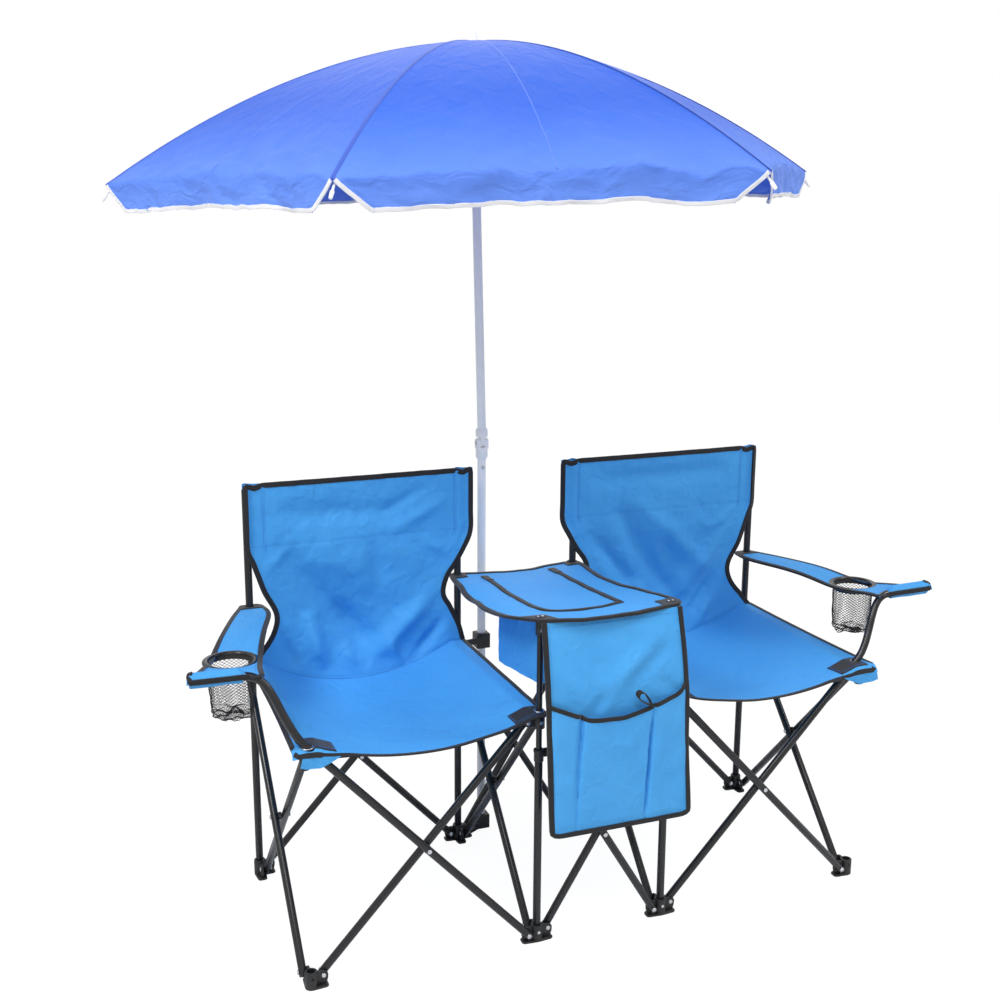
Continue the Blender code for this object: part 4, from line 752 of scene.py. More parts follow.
def cloth_finish(name, colour, deep, roughness, threads, puckers, pucker_depth, sheen, specular=0.35, painted_shade_ends=None):
    """A woven cloth: the colour deepens between threads and varies softly over the piece.

    With its last argument, a colour at one end of the map and one at the other tint it between two heights of the
    map: painted shade and light, which on the canopy darkens the top and leaves the hem light, standing in for
    light through the thin cloth.
    """
    made, tree, shader = finish(name, colour, roughness)[:3]
    place = tree.nodes.new("ShaderNodeUVMap").outputs["UV"]
    made_of = placed_group(tree, weave, Place=place, Threads=threads, Puckers=puckers)
    share = calculated(tree, "MULTIPLY", made_of["Threads"], 0.35)
    share = calculated(tree, "ADD", share, calculated(tree, "MULTIPLY", made_of["Slub"], 0.35))
    share = calculated(tree, "ADD", share, calculated(tree, "MULTIPLY", made_of["Tone"], 0.4))
    tint = mixed_colour(tree, share, (*deep, 1), (*colour, 1))
    if painted_shade_ends:
        first, second, low, high = painted_shade_ends
        height = add_node(tree, "ShaderNodeSeparateXYZ", Vector=place).outputs[1]
        level = add_node(tree, "ShaderNodeMapRange", Value=height, From_Min=low, From_Max=high)
        level.interpolation_type = "SMOOTHSTEP"
        # Painted shade and light: the cloth is darker towards one end of its map and lighter towards the other.
        tint = mixed_colour(tree, 1.0, tint, mixed_colour(tree, level.outputs[0], (*first, 1), (*second, 1)),
                            "MULTIPLY")
    tree.links.new(tint, shader.inputs["Base Color"])
    fine = add_node(tree, "ShaderNodeBump", Strength=0.6, Distance=0.00012, Height=made_of["Threads"])
    soft = add_node(tree, "ShaderNodeBump", Strength=0.8, Distance=pucker_depth, Height=made_of["Pucker"],
                    Normal=fine.outputs["Normal"])
    tree.links.new(soft.outputs["Normal"], shader.inputs["Normal"])
    shader.inputs["Sheen Weight"].default_value = sheen
    shader.inputs["Sheen Roughness"].default_value = 0.4
    shader.inputs["Specular IOR Level"].default_value = specular
    return made


azure_cloth = cloth_finish("azure_polyester", (0.097, 0.448, 0.885), (0.040, 0.288, 0.715), 0.62, 1300, 30,
                           0.0040, 0.04, 0.22)
tape_cloth = cloth_finish("black_binding_tape", (0.022, 0.022, 0.025), (0.008, 0.008, 0.009), 0.70, 900, 90,
                          0.0004, 0.25, 0.3)
thread_colour = coat("azure_thread", (0.030, 0.170, 0.560), (0.05, 0.25, 0.7), 0.6, 0.7, 2400, 60, 0.00003)


def span(low, high, share):
    return low + (high - low) * share


def line_at(points, height, steps=10):
    """Where a smooth line through (distance, height) points is at a height."""
    line = smooth_line([(x, 0, z) for x, z in points], steps)
    for a, b in zip(line, line[1:]):
        if min(a.z, b.z) <= height <= max(a.z, b.z) and a.z != b.z:
            return span(a.x, b.x, (height - a.z) / (b.z - a.z))
    return line[0].x if height > line[0].z else line[-1].x


def table_of(points, low, high, count=160):
    """The same line read off at even heights, for quick use."""
    values = [line_at(points, span(low, high, n / count)) for n in range(count + 1)]

    def read(height):
        share = min(max((height - low) / (high - low), 0), 1) * count
        n = min(int(share), count - 1)
        return span(values[n], values[n + 1], share - n)
    return read


def sling_drop(x, drop):
    """How far a seat hangs under its corners at a distance from the mid-plane."""
    inside = min(abs(x) - inner_x, outer_x - abs(x))
    share = (inside - seat_flat) / (row_half - seat_flat)
    return drop * (1 - (1 - min(max(share, 0), 1)) ** 2)


def fold_rise(folds, x, z):
    """How far soft folds stand out at a place."""
    rise = 0
    for (x0, z0), (x1, z1), width, height in folds:
        length = math.hypot(x1 - x0, z1 - z0)
        along = ((x - x0) * (x1 - x0) + (z - z0) * (z1 - z0)) / length ** 2
        clipped = min(max(along, 0), 1)
        away = math.hypot(x - span(x0, x1, clipped), z - span(z0, z1, clipped)) / width
        taper = math.sin(math.pi * (0.12 + 0.76 * clipped)) ** 0.7
        rise += 1.25 * height * taper * math.exp(-away * away)
    return rise


def cloth_mesh(place, across, along, width, length, thickness=cloth_thickness):
    """A sheet whose points are placed by two shares, with its flat size in metres as its UV map."""
    bpy.ops.mesh.primitive_grid_add(x_subdivisions=across, y_subdivisions=along, size=2)
    made = bpy.context.object
    shares = [((vertex.co.x + 1) / 2, (vertex.co.y + 1) / 2) for vertex in made.data.vertices]
    for vertex, (a, b) in zip(made.data.vertices, shares):
        vertex.co = place(a, b)
    layer = made.data.uv_layers.active.data
    for loop in made.data.loops:
        a, b = shares[loop.vertex_index]
        layer[loop.index].uv = (a * width, b * length)
    if thickness:
        apply_modifier(made, "SOLIDIFY", thickness=thickness, offset=0)
    return made


def normal_at(place, a, b, facing=None):
    """The sheet's normal at two shares, turned to face a direction."""
    step = 0.004
    a0, a1, b0, b1 = max(a - step, 0), min(a + step, 1), max(b - step, 0), min(b + step, 1)
    normal = (place(a1, b) - place(a0, b)).cross(place(a, b1) - place(a, b0))
    normal = normal.normalized() if normal.length > 1e-12 else UP.copy()
    return -normal if facing is not None and normal.dot(facing) < 0 else normal


def skin(rings, closed=False, caps=True):
    """A mesh over a row of rings of points, with a UV map in metres along and around."""
    count = len(rings[0])
    faces, uvs = [], []
    run = [0]
    for a, b in zip(rings, rings[1:] + rings[:1]):
        run.append(run[-1] + (b[0] - a[0]).length)
    around = [0]
    for a, b in zip(rings[0], rings[0][1:] + rings[0][:1]):
        around.append(around[-1] + (b - a).length)
    for n in range(len(rings) if closed else len(rings) - 1):
        m = (n + 1) % len(rings)
        for k in range(count):
            j = (k + 1) % count
            faces.append((n * count + k, n * count + j, m * count + j, m * count + k))
            uvs += [(run[n], around[k]), (run[n], around[k + 1]), (run[n + 1], around[k + 1]),
                    (run[n + 1], around[k])]
    if caps and not closed:
        for ring in (tuple(range(count)), tuple(range((len(rings) - 1) * count, len(rings) * count))):
            faces.append(ring)
            uvs += [(0, around[k]) for k in range(count)]
    made = meshed("skin", [point for ring in rings for point in ring], faces)
    for place, uv in zip(made.data.uv_layers.new(name="UVMap").data, uvs):
        place.uv = uv
    face_outwards(made)
    return made


def taped(place, shares, inside=0.0088, outside=0.0016, half=0.0019, closed=False):
    """Folded binding tape along a sheet's edge, at a row of shares."""
    rings = []
    points = [place(a, b) for a, b in shares]
    for n, (a, b) in enumerate(shares):
        before = points[n - 1] if n or closed else points[n]
        after = points[(n + 1) % len(points)] if n + 1 < len(points) or closed else points[n]
        along = (after - before).normalized()
        normal = normal_at(place, a, b)
        inward = place(span(a, 0.5, 0.03), span(b, 0.5, 0.03)) - points[n]
        inward = (inward - along * inward.dot(along) - normal * inward.dot(normal)).normalized()
        section = [(inside, half * 0.5), (inside - 0.0006, half), (0.001, half), (-outside * 0.7, half * 0.7),
                   (-outside, 0)]
        section += [(s, -t) for s, t in reversed(section[:-1])]
        rings.append([points[n] + inward * s + normal * t for s, t in section])
    return skin(rings, closed)


def stitched(place, shares, facing, pitch=0.0042, length=0.0029, width=0.0008, lift=0.0009, rise=0.0006):
    """A run of small stitches over a sheet, along a row of shares."""
    points = [place(a, b) for a, b in shares]
    runs = [0]
    for a, b in zip(points, points[1:]):
        runs.append(runs[-1] + (b - a).length)
    corners, faces, n = [], [], 0
    for stitch in range(int(runs[-1] / pitch)):
        at = (stitch + 0.5) * pitch
        while n < len(runs) - 2 and runs[n + 1] < at:
            n += 1
        share = (at - runs[n]) / max(runs[n + 1] - runs[n], 1e-9)
        point = points[n].lerp(points[n + 1], share)
        along = (points[n + 1] - points[n]).normalized()
        normal = normal_at(place, *[span(p, q, share) for p, q in zip(shares[n], shares[n + 1])], facing)
        side = normal.cross(along).normalized()
        first = len(corners)
        for up, short, narrow in ((lift - 0.0006, 1.0, 1.0), (lift + rise, 0.62, 0.5)):
            for s, t in ((-1, -1), (1, -1), (1, 1), (-1, 1)):
                corners.append(point + normal * up + along * (s * short * length / 2)
                               + side * (t * narrow * width / 2))
        for face in ((3, 2, 1, 0), (4, 5, 6, 7), (0, 1, 5, 4), (1, 2, 6, 5), (2, 3, 7, 6), (3, 0, 4, 7)):
            faces.append([first + k for k in face])
    made = meshed("stitches", corners, faces)
    face_outwards(made)
    return made


def shares_between(start, end, count):
    """Evenly spaced pairs of shares between two."""
    return [tuple(span(p, q, n / count) for p, q in zip(start, end)) for n in range(count + 1)]


post_front = row_half - tube_radius - clearance - 0.0015
outer_of, inner_of = (table_of(edge, seat_corner, back_top) for edge in (back_outer, back_inner))
sleeve_share = 0.38             # share of a back's rows that lie above the cuffs
cuff = 1 - sleeve_share         # where the cuffs are, as a share of its rows
band_height = 0.757             # of the seam across a back


def back_place(side):
    sign = side_sign[side]
    folds = back_folds[side]

    def place(a, b):
        height = span(cuff_height, back_top, (b - 1 + sleeve_share) / sleeve_share)
        if b < cuff:
            height = span(seat_corner, cuff_height, b / cuff)
        x = span(outer_of(height), inner_of(height), a)
        if b < cuff:
            seam = seat_corner - 0.0009 - sling_drop(x, 0.058)
            z = span(seam, cuff_height, b / cuff)
        else:
            z = height
        from_outer, from_inner = outer_of(height) - x, x - inner_of(height)
        bulge = math.exp(-((from_outer - 0.006) / 0.010) ** 2) + math.exp(-((from_inner - 0.034) / 0.010) ** 2)
        edge = max(math.exp(-(from_outer / 0.05) ** 2), math.exp(-(from_inner / 0.05) ** 2))
        above = min(max((z - cuff_height + 0.02) / 0.03, 0), 1)
        y = post_front + above * 0.0045 * (1 - min(bulge, 1)) * edge
        crease = sum(math.exp(-((d - sleeve_width) / 0.0028) ** 2) for d in (from_outer, from_inner))
        y += above * 0.0013 * crease
        dip = sum(math.exp(-((d - 0.024) / 0.010) ** 2) for d in (from_outer, from_inner))
        level = max((b - 1 + sleeve_share) / sleeve_share, 0)
        z -= 0.0055 * dip * level ** 6
        low = min(1, max(z - 0.44, 0) / 0.27)
        inside = min(from_outer, from_inner) / 0.06
        hold = 1 - math.exp(-inside * inside)
        inwards = min(max((x - 0.172) / 0.41, 0), 1)
        bow = 0.018 * math.sin(math.pi * inwards) * math.sin(math.pi * low) if low < 1 else 0
        y = span(0.2192, y, min(1, (b / cuff) / 0.3)) + bow
        y += math.exp(-((z - band_height) / 0.0025) ** 2) * 0.0008 * hold
        y -= fold_rise(folds, x, z) * hold * min(1, b / 0.10) ** 0.7
        crumple = noise.noise(Vector((x * 16 * sign, z * 16, 2.5)))
        crumple += 0.5 * noise.noise(Vector((x * 38, z * 38, sign)))
        crumple += 0.3 * noise.noise(Vector((x * 90 - z * 50, z * 70, sign * 2)))
        y -= 0.0023 * crumple * hold * min(1, b / 0.05)
        return middle + Vector((sign * x, y, z))
    return place


def sleeve_rear(side, from_outer_edge):
    """The rear layer of a post sleeve, from the edge round the back of the post to its stitches."""
    sign = side_sign[side]

    def place(a, b):
        height = span(cuff_height + 0.004, back_top - 0.001, b)
        away = span(0, sleeve_width, a)
        x = outer_of(height) - away if from_outer_edge else inner_of(height) + away
        at_post = 0.006 if from_outer_edge else 0.034
        bulge = math.exp(-((away - at_post) / 0.011) ** 2)
        front = math.exp(-(away / 0.003) ** 2) + math.exp(-((away - sleeve_width) / 0.004) ** 2)
        y = span(row_half - 0.001, row_half + tube_radius + 0.0016, bulge)
        y = span(y, post_front + 0.005, min(front, 1) * (0.5 if from_outer_edge and away < 0.02 else 1))
        return middle + Vector((sign * x, y, height))
    return place


for side, body, anchor in (("left", "rear_leg_2", column_x[1]), ("right", "rear_leg_3", column_x[2])):
    place = back_place(side)
    node = f"back_{side}"
    panel = cloth_mesh(place, 132, 116, 0.500, 0.440)
    flaps = [cloth_mesh(sleeve_rear(side, outer), 14, 20, sleeve_width, 0.15, 0.0014) for outer in (True, False)]
    made = settle(joined([panel] + flaps), f"{node}_cloth", body, "azure_cloth", azure_cloth, node, angle=60)
    corner = 0.013
    shares = shares_between((0, 0.004), (0, 1 - corner * 2.2), 70)
    shares += [(0.0035, 1 - 0.007), (0.013, 1)] + shares_between((0.03, 1), (1 - 0.03, 1), 60)
    shares += [(1 - 0.013, 1), (1 - 0.0035, 1 - 0.007)] + shares_between((1, 1 - corner * 2.2), (1, 0.004), 70)
    tape = settle(taped(place, shares, inside=0.0100, half=0.0023), f"{node}_binding", body, "black_binding",
                  tape_cloth, angle=50)
    width = outer_of(0.8) - inner_of(0.8)
    runs = []
    for away in (sleeve_width - 0.0028, sleeve_width + 0.0028):
        for a in (away / width, 1 - away / width):
            runs.append(stitched(place, shares_between((a, 0.995), (a, cuff), 30), FORWARD))
    band_share = (band_height - cuff_height) / (back_top - cuff_height) * sleeve_share + cuff
    runs.append(stitched(place, shares_between((0.01, band_share), (0.99, band_share), 60), FORWARD))
    runs.append(stitched(place, shares_between((0.02, 0.012), (0.98, 0.012), 60), FORWARD))
    thread = settle(joined(runs), f"{node}_stitches", body, "azure_cloth", thread_colour)
    for piece in (made, tape, thread):
        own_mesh(piece)

# Seats
# Each seat is one sling of the same blue cloth, bound in black, hung from its four corners. The front
# corners carry black patches with bright eyelets round the tubes, and the outer one a short tail. Each seat
# is made in two halves that meet along its middle.
seat_front, seat_rear = 0.262, 0.2207
seat_rows = 0.4827


def seat_place(side):
    sign = side_sign[side]

    def place(a, b):
        x = span(outer_x + 0.010 + 0.018 * (1 - b) ** 2, inner_x - 0.011, a)
        between = min(max((min(outer_x - x, x - inner_x) - 0.022) / 0.03, 0), 1)
        y = span(-seat_front, seat_rear + 0.0032 * between, b)
        drop = 0.036 * (1 - b) * (1 - 2 * b) + 0.066 * 4 * b * (1 - b) + 0.058 * b * (2 * b - 1)
        hang = sling_drop(x, drop)
        away = math.hypot((x - inner_x - 0.06) / 0.16, (y + 0.17) / 0.022)
        ripple = 0.0016 * math.exp(-away * away)
        ripple += 0.0012 * math.sin(38 * (x - y)) * math.exp(-((x - 0.22) / 0.1) ** 2)
        corner_lift = 0.003 * math.exp(-((x - outer_x) / 0.03) ** 2 - ((y + 0.25) / 0.04) ** 2)
        z = seat_corner - clearance - 0.0015 - hang + ripple * (1 - b) + corner_lift
        z -= 0.013 * max(0, 1 - b / 0.028) ** 1.5 * min(max((x - 0.520) / 0.06, 0), 1)
        return middle + Vector((sign * x, y, z))
    return place


patch_cloth = cloth_finish("black_corner_webbing", (0.030, 0.030, 0.034), (0.012, 0.012, 0.014), 0.62, 420, 60,
                           0.0003, 0.2, 0.35)


def part_place(place, low, high):
    """The part of a sheet between two shares across."""
    return lambda a, b: place(span(low, high, a), b)


def patch(place, low, high, lift=0.0022):
    """A thin square laid on a sheet, between two pairs of shares, with its rim turned down."""
    def on(a, b):
        p, q = span(low[0], high[0], a), span(low[1], high[1], b)
        rim = min(a, 1 - a, b, 1 - b)
        return place(p, q) + normal_at(place, p, q, UP) * (lift - 0.0012 * math.exp(-rim * 40))
    size = (place(*high) - place(*low)).length * 0.7
    return cloth_mesh(on, 16, 16, size, size, 0.0014)


def ring_round(centre, normal, major, minor, flat=0.6):
    """A ring of round section, pressed flat along its axis."""
    turn = Vector(normal).to_track_quat("Z", "Y").to_euler()
    bpy.ops.mesh.primitive_torus_add(major_segments=40, minor_segments=12, major_radius=major, minor_radius=minor)
    made = bpy.context.object
    made.scale = (1, 1, flat)
    bpy.ops.object.transform_apply(location=False, rotation=False, scale=True)
    made.location, made.rotation_euler = centre, turn
    bpy.ops.object.transform_apply(location=True, rotation=True, scale=True)
    return made


patch_shares = {"outer": ((0.036, 0.022), (0.165, 0.125)), "inner": ((0.868, 0.022), (0.985, 0.115))}
patch_inset = 0.006
for side, outer_column, inner_column in (("left", 1, 2), ("right", 4, 3)):
    sign = side_sign[side]
    place = seat_place(side)
    node = f"seat_{side}"
    arm_start = Vector((column_x[outer_column - 1] - sign * pivot_out, row_y["front"], seat_pivot))
    arm_start += (FORWARD if side == "left" else BACK) * tube_off
    path = [arm_start] + arm_bend(side, arm_start)
    arm_bores = [(start - (end - start) * 0.1, end + (end - start) * 0.1)
                 for start, end in zip(path[:4], path[1:5])]
    slim_foot = upright("front", inner_column)
    for half, low, high, column in (("outer", 0, 0.5, outer_column), ("inner", 0.5, 1, inner_column)):
        outer = half == "outer"
        bores = arm_bores if outer else [(slim_foot + UP * 0.44, slim_foot + UP * 0.56)]
        radius = tube_radius if outer else slim_radius
        sheet = cloth_mesh(part_place(place, low, high), 54, 96, 0.256, seat_rows)
        for start, end in bores:
            bored(sheet, start, end, radius + 0.0022)
        settle(sheet, f"{node}_{half}_cloth", None, "azure_cloth", azure_cloth, *([node] if outer else []),
               angle=60)
        edge = 0.0 if outer else 1.0
        line = shares_between((0.5, 0), (span(0.5, edge, 0.95), 0), 36)
        line += [(span(0.5, edge, 0.988), 0.008), (edge, 0.035)]
        line += shares_between((edge, 0.06), (edge, 1.0), 60)
        tape = settle(taped(place, line), f"{node}_{half}_binding", None, "black_binding", tape_cloth, angle=50)
        square = patch(place, *patch_shares[half])
        for start, end in bores:
            bored(square, start, end, radius + 0.0012)
        settle(square, f"{node}_{half}_patch", None, "black_binding", patch_cloth, angle=50)
        level = place(0.10 if outer else 0.93, 0.07).z + 0.0036
        through = slim_foot
        if outer:
            through = next(start.lerp(end, (level - start.z) / (end.z - start.z))
                           for start, end in zip(path[:5], path[1:6]) if start.z <= level <= end.z)
        eyelet = ring_round(Vector((through.x, through.y, level)), UP, radius + 0.0030, 0.0017)
        eyelet = settle(eyelet, f"{node}_{half}_eyelet", None, "bright_rivets", bright_steel)
        rear_run = ((0.46, 0.988), (0.03, 0.988)) if outer else ((0.54, 0.988), (0.97, 0.988))
        thread_runs = [stitched(place, shares_between(*rear_run, 40), UP)]
        (left, front), (right, rear) = patch_shares[half]
        left, front = left + patch_inset, front + patch_inset
        right, rear = right - patch_inset, rear - patch_inset
        corners = [(left, front), (right, front), (right, rear), (left, rear), (left, front)]
        for start, end in zip(corners, corners[1:]):
            line = shares_between(start, end, 8)
            thread_runs.append(stitched(place, line, UP, lift=0.0032))
        thread = settle(joined(thread_runs), f"{node}_{half}_stitches", None, "azure_cloth", thread_colour)
        halves = [sheet, tape, square, eyelet, thread]
        if outer:
            def tail_place(a, b):
                """The tail under the outer front corner: it drops from the seat's front edge."""
                end = outer_x + (0.024 if sign > 0 else 0.010)
                x = span(end, outer_x - 0.060, a) + 0.004 * b * (1 - a)
                down = 0.022 * min(0.8 + 1.4 * a, 1.0, (1 - a) / 0.5 + 0.03) * b
                y = -seat_front - 0.0022 + 0.003 * math.sin(5 * a)
                return middle + Vector((sign * x, y, 0.487 - 0.004 * a - down))
            tail = settle(cloth_mesh(tail_place, 18, 8, 0.08, 0.026), f"{node}_tail", None, "azure_cloth",
                          azure_cloth, angle=60)
            halves.append(tail)
        for piece in halves:
            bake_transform(piece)
        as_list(halves[1:5])

# Armrests and cup holders
# A bound strip of doubled blue cloth runs from a grommet on the rear post to a sleeve on the bent tube. A
# flat glossy black ring is set in it, and a cup of soft black netting hangs from the ring.
arm_edges = [(0, -0.10, 0.089), (0.037, -0.143, 0.118), (0.169, -0.153, 0.251), (0.387, -0.005, 0.443),
             (0.60, 0.135, 0.64), (0.72, 0.20, 0.75), (0.855, 0.266, 0.872), (0.960, 0.300, 0.975),
             (1, 0.335, 0.995)]      # way to the front, then the inner and outer edge as shares of the reach
arm_reach = 0.203
arm_rear = 0.252
cup_x, cup_y = 0.709, -0.063
ring_top = 0.617
cup_bottom = 0.511
arm_inner = table_of([(inner, along) for along, inner, outer in arm_edges], 0, 1)
arm_outer = table_of([(outer, along) for along, inner, outer in arm_edges], 0, 1)
gloss_plastic = coat(
    "black_gloss_plastic", (0.012, 0.012, 0.013), (0.03, 0.03, 0.03), 0.12, 0.22, 800, 30, 0.00003)
net_cord = coat("black_net_cord", (0.018, 0.018, 0.019), (0.05, 0.05, 0.05), 0.6, 0.75, 3000, 80, 0.00003)


def arm_place(side):
    sign = side_sign[side]

    def place(a, b):
        level = min(b / 0.955, 1)
        y = span(arm_rear, arm_tip.y, level)
        x = outer_x + arm_reach * span(arm_inner(b), arm_outer(b), a)
        away = math.hypot(x - cup_x, y - cup_y) / 0.085
        z = span(0.622, 0.633, level) - 0.019 * math.exp(-away * away)
        z += 0.003 * math.sin(math.pi * a) * (1 - b) * b * 4
        over = min(max((x - 0.700) / 0.018, 0), 1)
        z += 0.0164 * over * min(max((level - 0.93) / 0.06, 0), 1)
        turn = max(b - 0.955, 0) / 0.045 * math.pi / 2
        y -= 0.0142 * math.sin(turn)
        z -= 0.0150 * over * (1 - math.cos(turn))
        return middle + Vector((sign * x, y, z))
    return place


def netting(centre, top, bottom, radius, around, sign):
    """A hanging net of diamond cells, drawn in and crumpled at its bottom."""
    rows = []
    depth = 0.0030
    height = top - bottom
    steps = int(height / depth)
    for n in range(steps + 1):
        share = n / steps
        rows.append((radius * (1 - 0.10 * share ** 2), top - height * share))
    floor_steps = 16
    for n in range(1, floor_steps + 1):
        share = n / floor_steps
        rows.append((radius * 0.90 * (1 - share * 0.93), bottom - 0.002 * math.sin(math.pi * share)))
    points = []
    for j, (r, z) in enumerate(rows):
        for i in range(around):
            turn = 2 * math.pi * (i + (j % 2) / 2) / around
            low = min(max((top - z) / height, 0), 1.1)
            crumple = noise.noise(Vector((3.1 * math.cos(turn) + sign, 3.1 * math.sin(turn), z * 42)))
            fine = noise.noise(Vector((8 * math.cos(turn), 8 * math.sin(turn) + sign, z * 110)))
            swell = r * (1 + 0.075 * crumple * low + 0.060 * fine * low ** 2)
            ruffle = noise.noise(Vector((60 * r * math.cos(turn), 60 * r * math.sin(turn), sign)))
            lift = 0.008 * low ** 3 * ruffle
            points.append(centre + Vector((swell * math.cos(turn), swell * math.sin(turn), z + lift)))
    faces = []
    for j in range(len(rows) - 2):
        for i in range(around):
            right = (i + 1) % around if j % 2 else i
            left = (right - 1) % around
            faces.append((j * around + i, (j + 1) * around + right,
                          (j + 2) * around + i, (j + 1) * around + left))
    made = meshed("net", points, faces)
    apply_modifier(made, "WIREFRAME", thickness=0.0013, use_even_offset=False, use_boundary=True)
    return made


for side, slider in (("left", "rear_slider_1"), ("right", "rear_slider_4")):
    sign = side_sign[side]
    place = arm_place(side)
    node = f"armrest_{side}"
    cup = middle + Vector((sign * cup_x, cup_y, 0))
    post = middle + Vector((sign * outer_x, row_half, 0))
    strip = cloth_mesh(place, 40, 96, 0.14, 0.46, 0.0036)
    bored(strip, cup + UP * 0.56, cup + UP * 0.68, 0.0475, 48)
    bored(strip, post + UP * 0.58, post + UP * 0.66, tube_radius + 0.0016)
    tip = arm_end(side)
    sleeve_from = Vector((middle.x + sign * 0.7115, tip.y + 0.0002, tip.z - 0.0006))
    sleeve = round_bar(sleeve_from, Vector((middle.x + sign * 0.8070, tip.y, tip.z)), 0.0118, 0.0012, 32)
    in_edit(sleeve, lambda: bpy.ops.mesh.subdivide(number_cuts=3))
    for vertex in sleeve.data.vertices:
        around = math.atan2(vertex.co.z - tip.z, vertex.co.y - tip.y)
        swell = 0.0006 * math.sin(3 * around + 90 * vertex.co.x) + 0.0004 * math.sin(240 * vertex.co.x)
        vertex.co.y += swell * math.cos(around)
        vertex.co.z += swell * math.sin(around)
    bored(sleeve, sleeve_from - RIGHT * sign * 0.02, tip + RIGHT * sign * 0.0005, tube_radius + 0.0006)
    made = settle(strip, f"{node}_cloth", slider, "azure_cloth", azure_cloth, node, angle=60)
    sleeve = settle(sleeve, f"{node}_sleeve", slider, "azure_cloth", azure_cloth, angle=50)
    line = shares_between((0.5, 0), (0.06, 0), 8) + [(0.012, 0.006)] + shares_between((0, 0.02), (0, 0.972), 90)
    line += [(0.012, 0.994)] + shares_between((0.05, 1), (0.95, 1), 36) + [(0.988, 0.992)]
    line += shares_between((1, 0.972), (1, 0.02), 90) + [(0.988, 0.006)] + shares_between((0.94, 0), (0.51, 0), 8)
    tape = settle(taped(place, line, inside=0.0090, half=0.0030, closed=True), f"{node}_binding", slider,
                  "black_binding", tape_cloth, angle=50)
    grommet = patch(place, (0.10, 0.0085), (0.90, 0.075), 0.0032)
    bored(grommet, post + UP * 0.58, post + UP * 0.66, tube_radius + 0.0008)
    grommet = settle(grommet, f"{node}_rear_patch", slider, "black_binding", patch_cloth, angle=50)
    collar = ring_round(post + UP * (0.622 + 0.0046), UP, tube_radius + 0.0024, 0.0018)
    collar = settle(collar, f"{node}_grommet", slider, "black_nylon", black_nylon)
    bpy.ops.mesh.primitive_torus_add(major_segments=72, minor_segments=16, major_radius=0.0482,
                                     minor_radius=0.0062, location=cup + UP * (ring_top + 0.001))
    ring = bpy.context.object
    for vertex in ring.data.vertices:
        vertex.co.z *= 0.55 if vertex.co.z > 0 else 0.9
    lip = round_bar(cup + UP * 0.6065, cup + UP * 0.6165, 0.0452, 0.0006, 72)
    bored(lip, cup + UP * 0.60, cup + UP * 0.625, 0.0432, 72)
    ring = settle(joined([ring, lip]), f"{node}_cup_ring", slider, "black_nylon", gloss_plastic)
    net = netting(cup, 0.611, cup_bottom + 0.003, 0.0436, 30, sign)
    net = settle(net, f"{node}_cup_net", slider, "black_mesh", net_cord, angle=80)
    runs = [stitched(place, shares_between((a, 0.09), (a, 0.93), 70), UP, lift=0.0020) for a in (0.10, 0.90)]
    thread = settle(joined(runs), f"{node}_stitches", slider, "azure_cloth", thread_colour)
    for piece in (made, sleeve, tape, grommet, collar, thread):
        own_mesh(piece)
    for piece in (ring, net):
        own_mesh(piece)

# Table
# A bound sheet of blue cloth, stretched from the caps of the two front tubes to the rear posts. A flap cut
# in it opens the cooler below and is edged in black tape. Patches with screws or rings hold its corners.
table_half_width, table_half_depth = 0.162, 0.250
table_rear_edge = [(-0.97, 0.99), (-0.60, 0.99), (0.0, 0.94), (0.60, 0.99), (0.97, 0.99)]
table_left_edge = [(-0.97, 0.99), (-1.02, 0.80), (-1.11, 0.40), (-1.20, -0.28), (-1.16, -0.70), (-1.01, -0.97)]
table_front_edge = [(-1.01, -0.97), (-0.86, -1.05), (-0.46, -1.11), (0.10, -1.11), (0.63, -1.07), (0.97, -1.02)]
table_right_edge = [(0.97, 0.99), (0.97, 0.82), (0.87, 0.45), (0.83, 0.0), (0.92, -0.40), (1.02, -0.84),
                    (0.97, -1.02)]


def table_height(y):
    """Middle of the sloping table top at a distance behind the middle."""
    return 0.690 - 0.044 * (y + row_half) / (2 * row_half)


def even_line(points, count=80):
    """A smooth line through flat points, read off by its length as a share."""
    line = smooth_line([(x * table_half_width, y * table_half_depth, 0) for x, y in points], 12)
    run = [0]
    for a, b in zip(line, line[1:]):
        run.append(run[-1] + (b - a).length)

    def read(share):
        at = min(max(share, 0), 1) * run[-1]
        n = 0
        while n < len(run) - 2 and run[n + 1] < at:
            n += 1
        return line[n].lerp(line[n + 1], (at - run[n]) / (run[n + 1] - run[n]))
    return read


rear_line, front_line = even_line(table_rear_edge), even_line(table_front_edge)
left_line, right_line = even_line(table_left_edge), even_line(table_right_edge)
corner_rl, corner_rr, corner_fl, corner_fr = rear_line(0), rear_line(1), front_line(0), front_line(1)


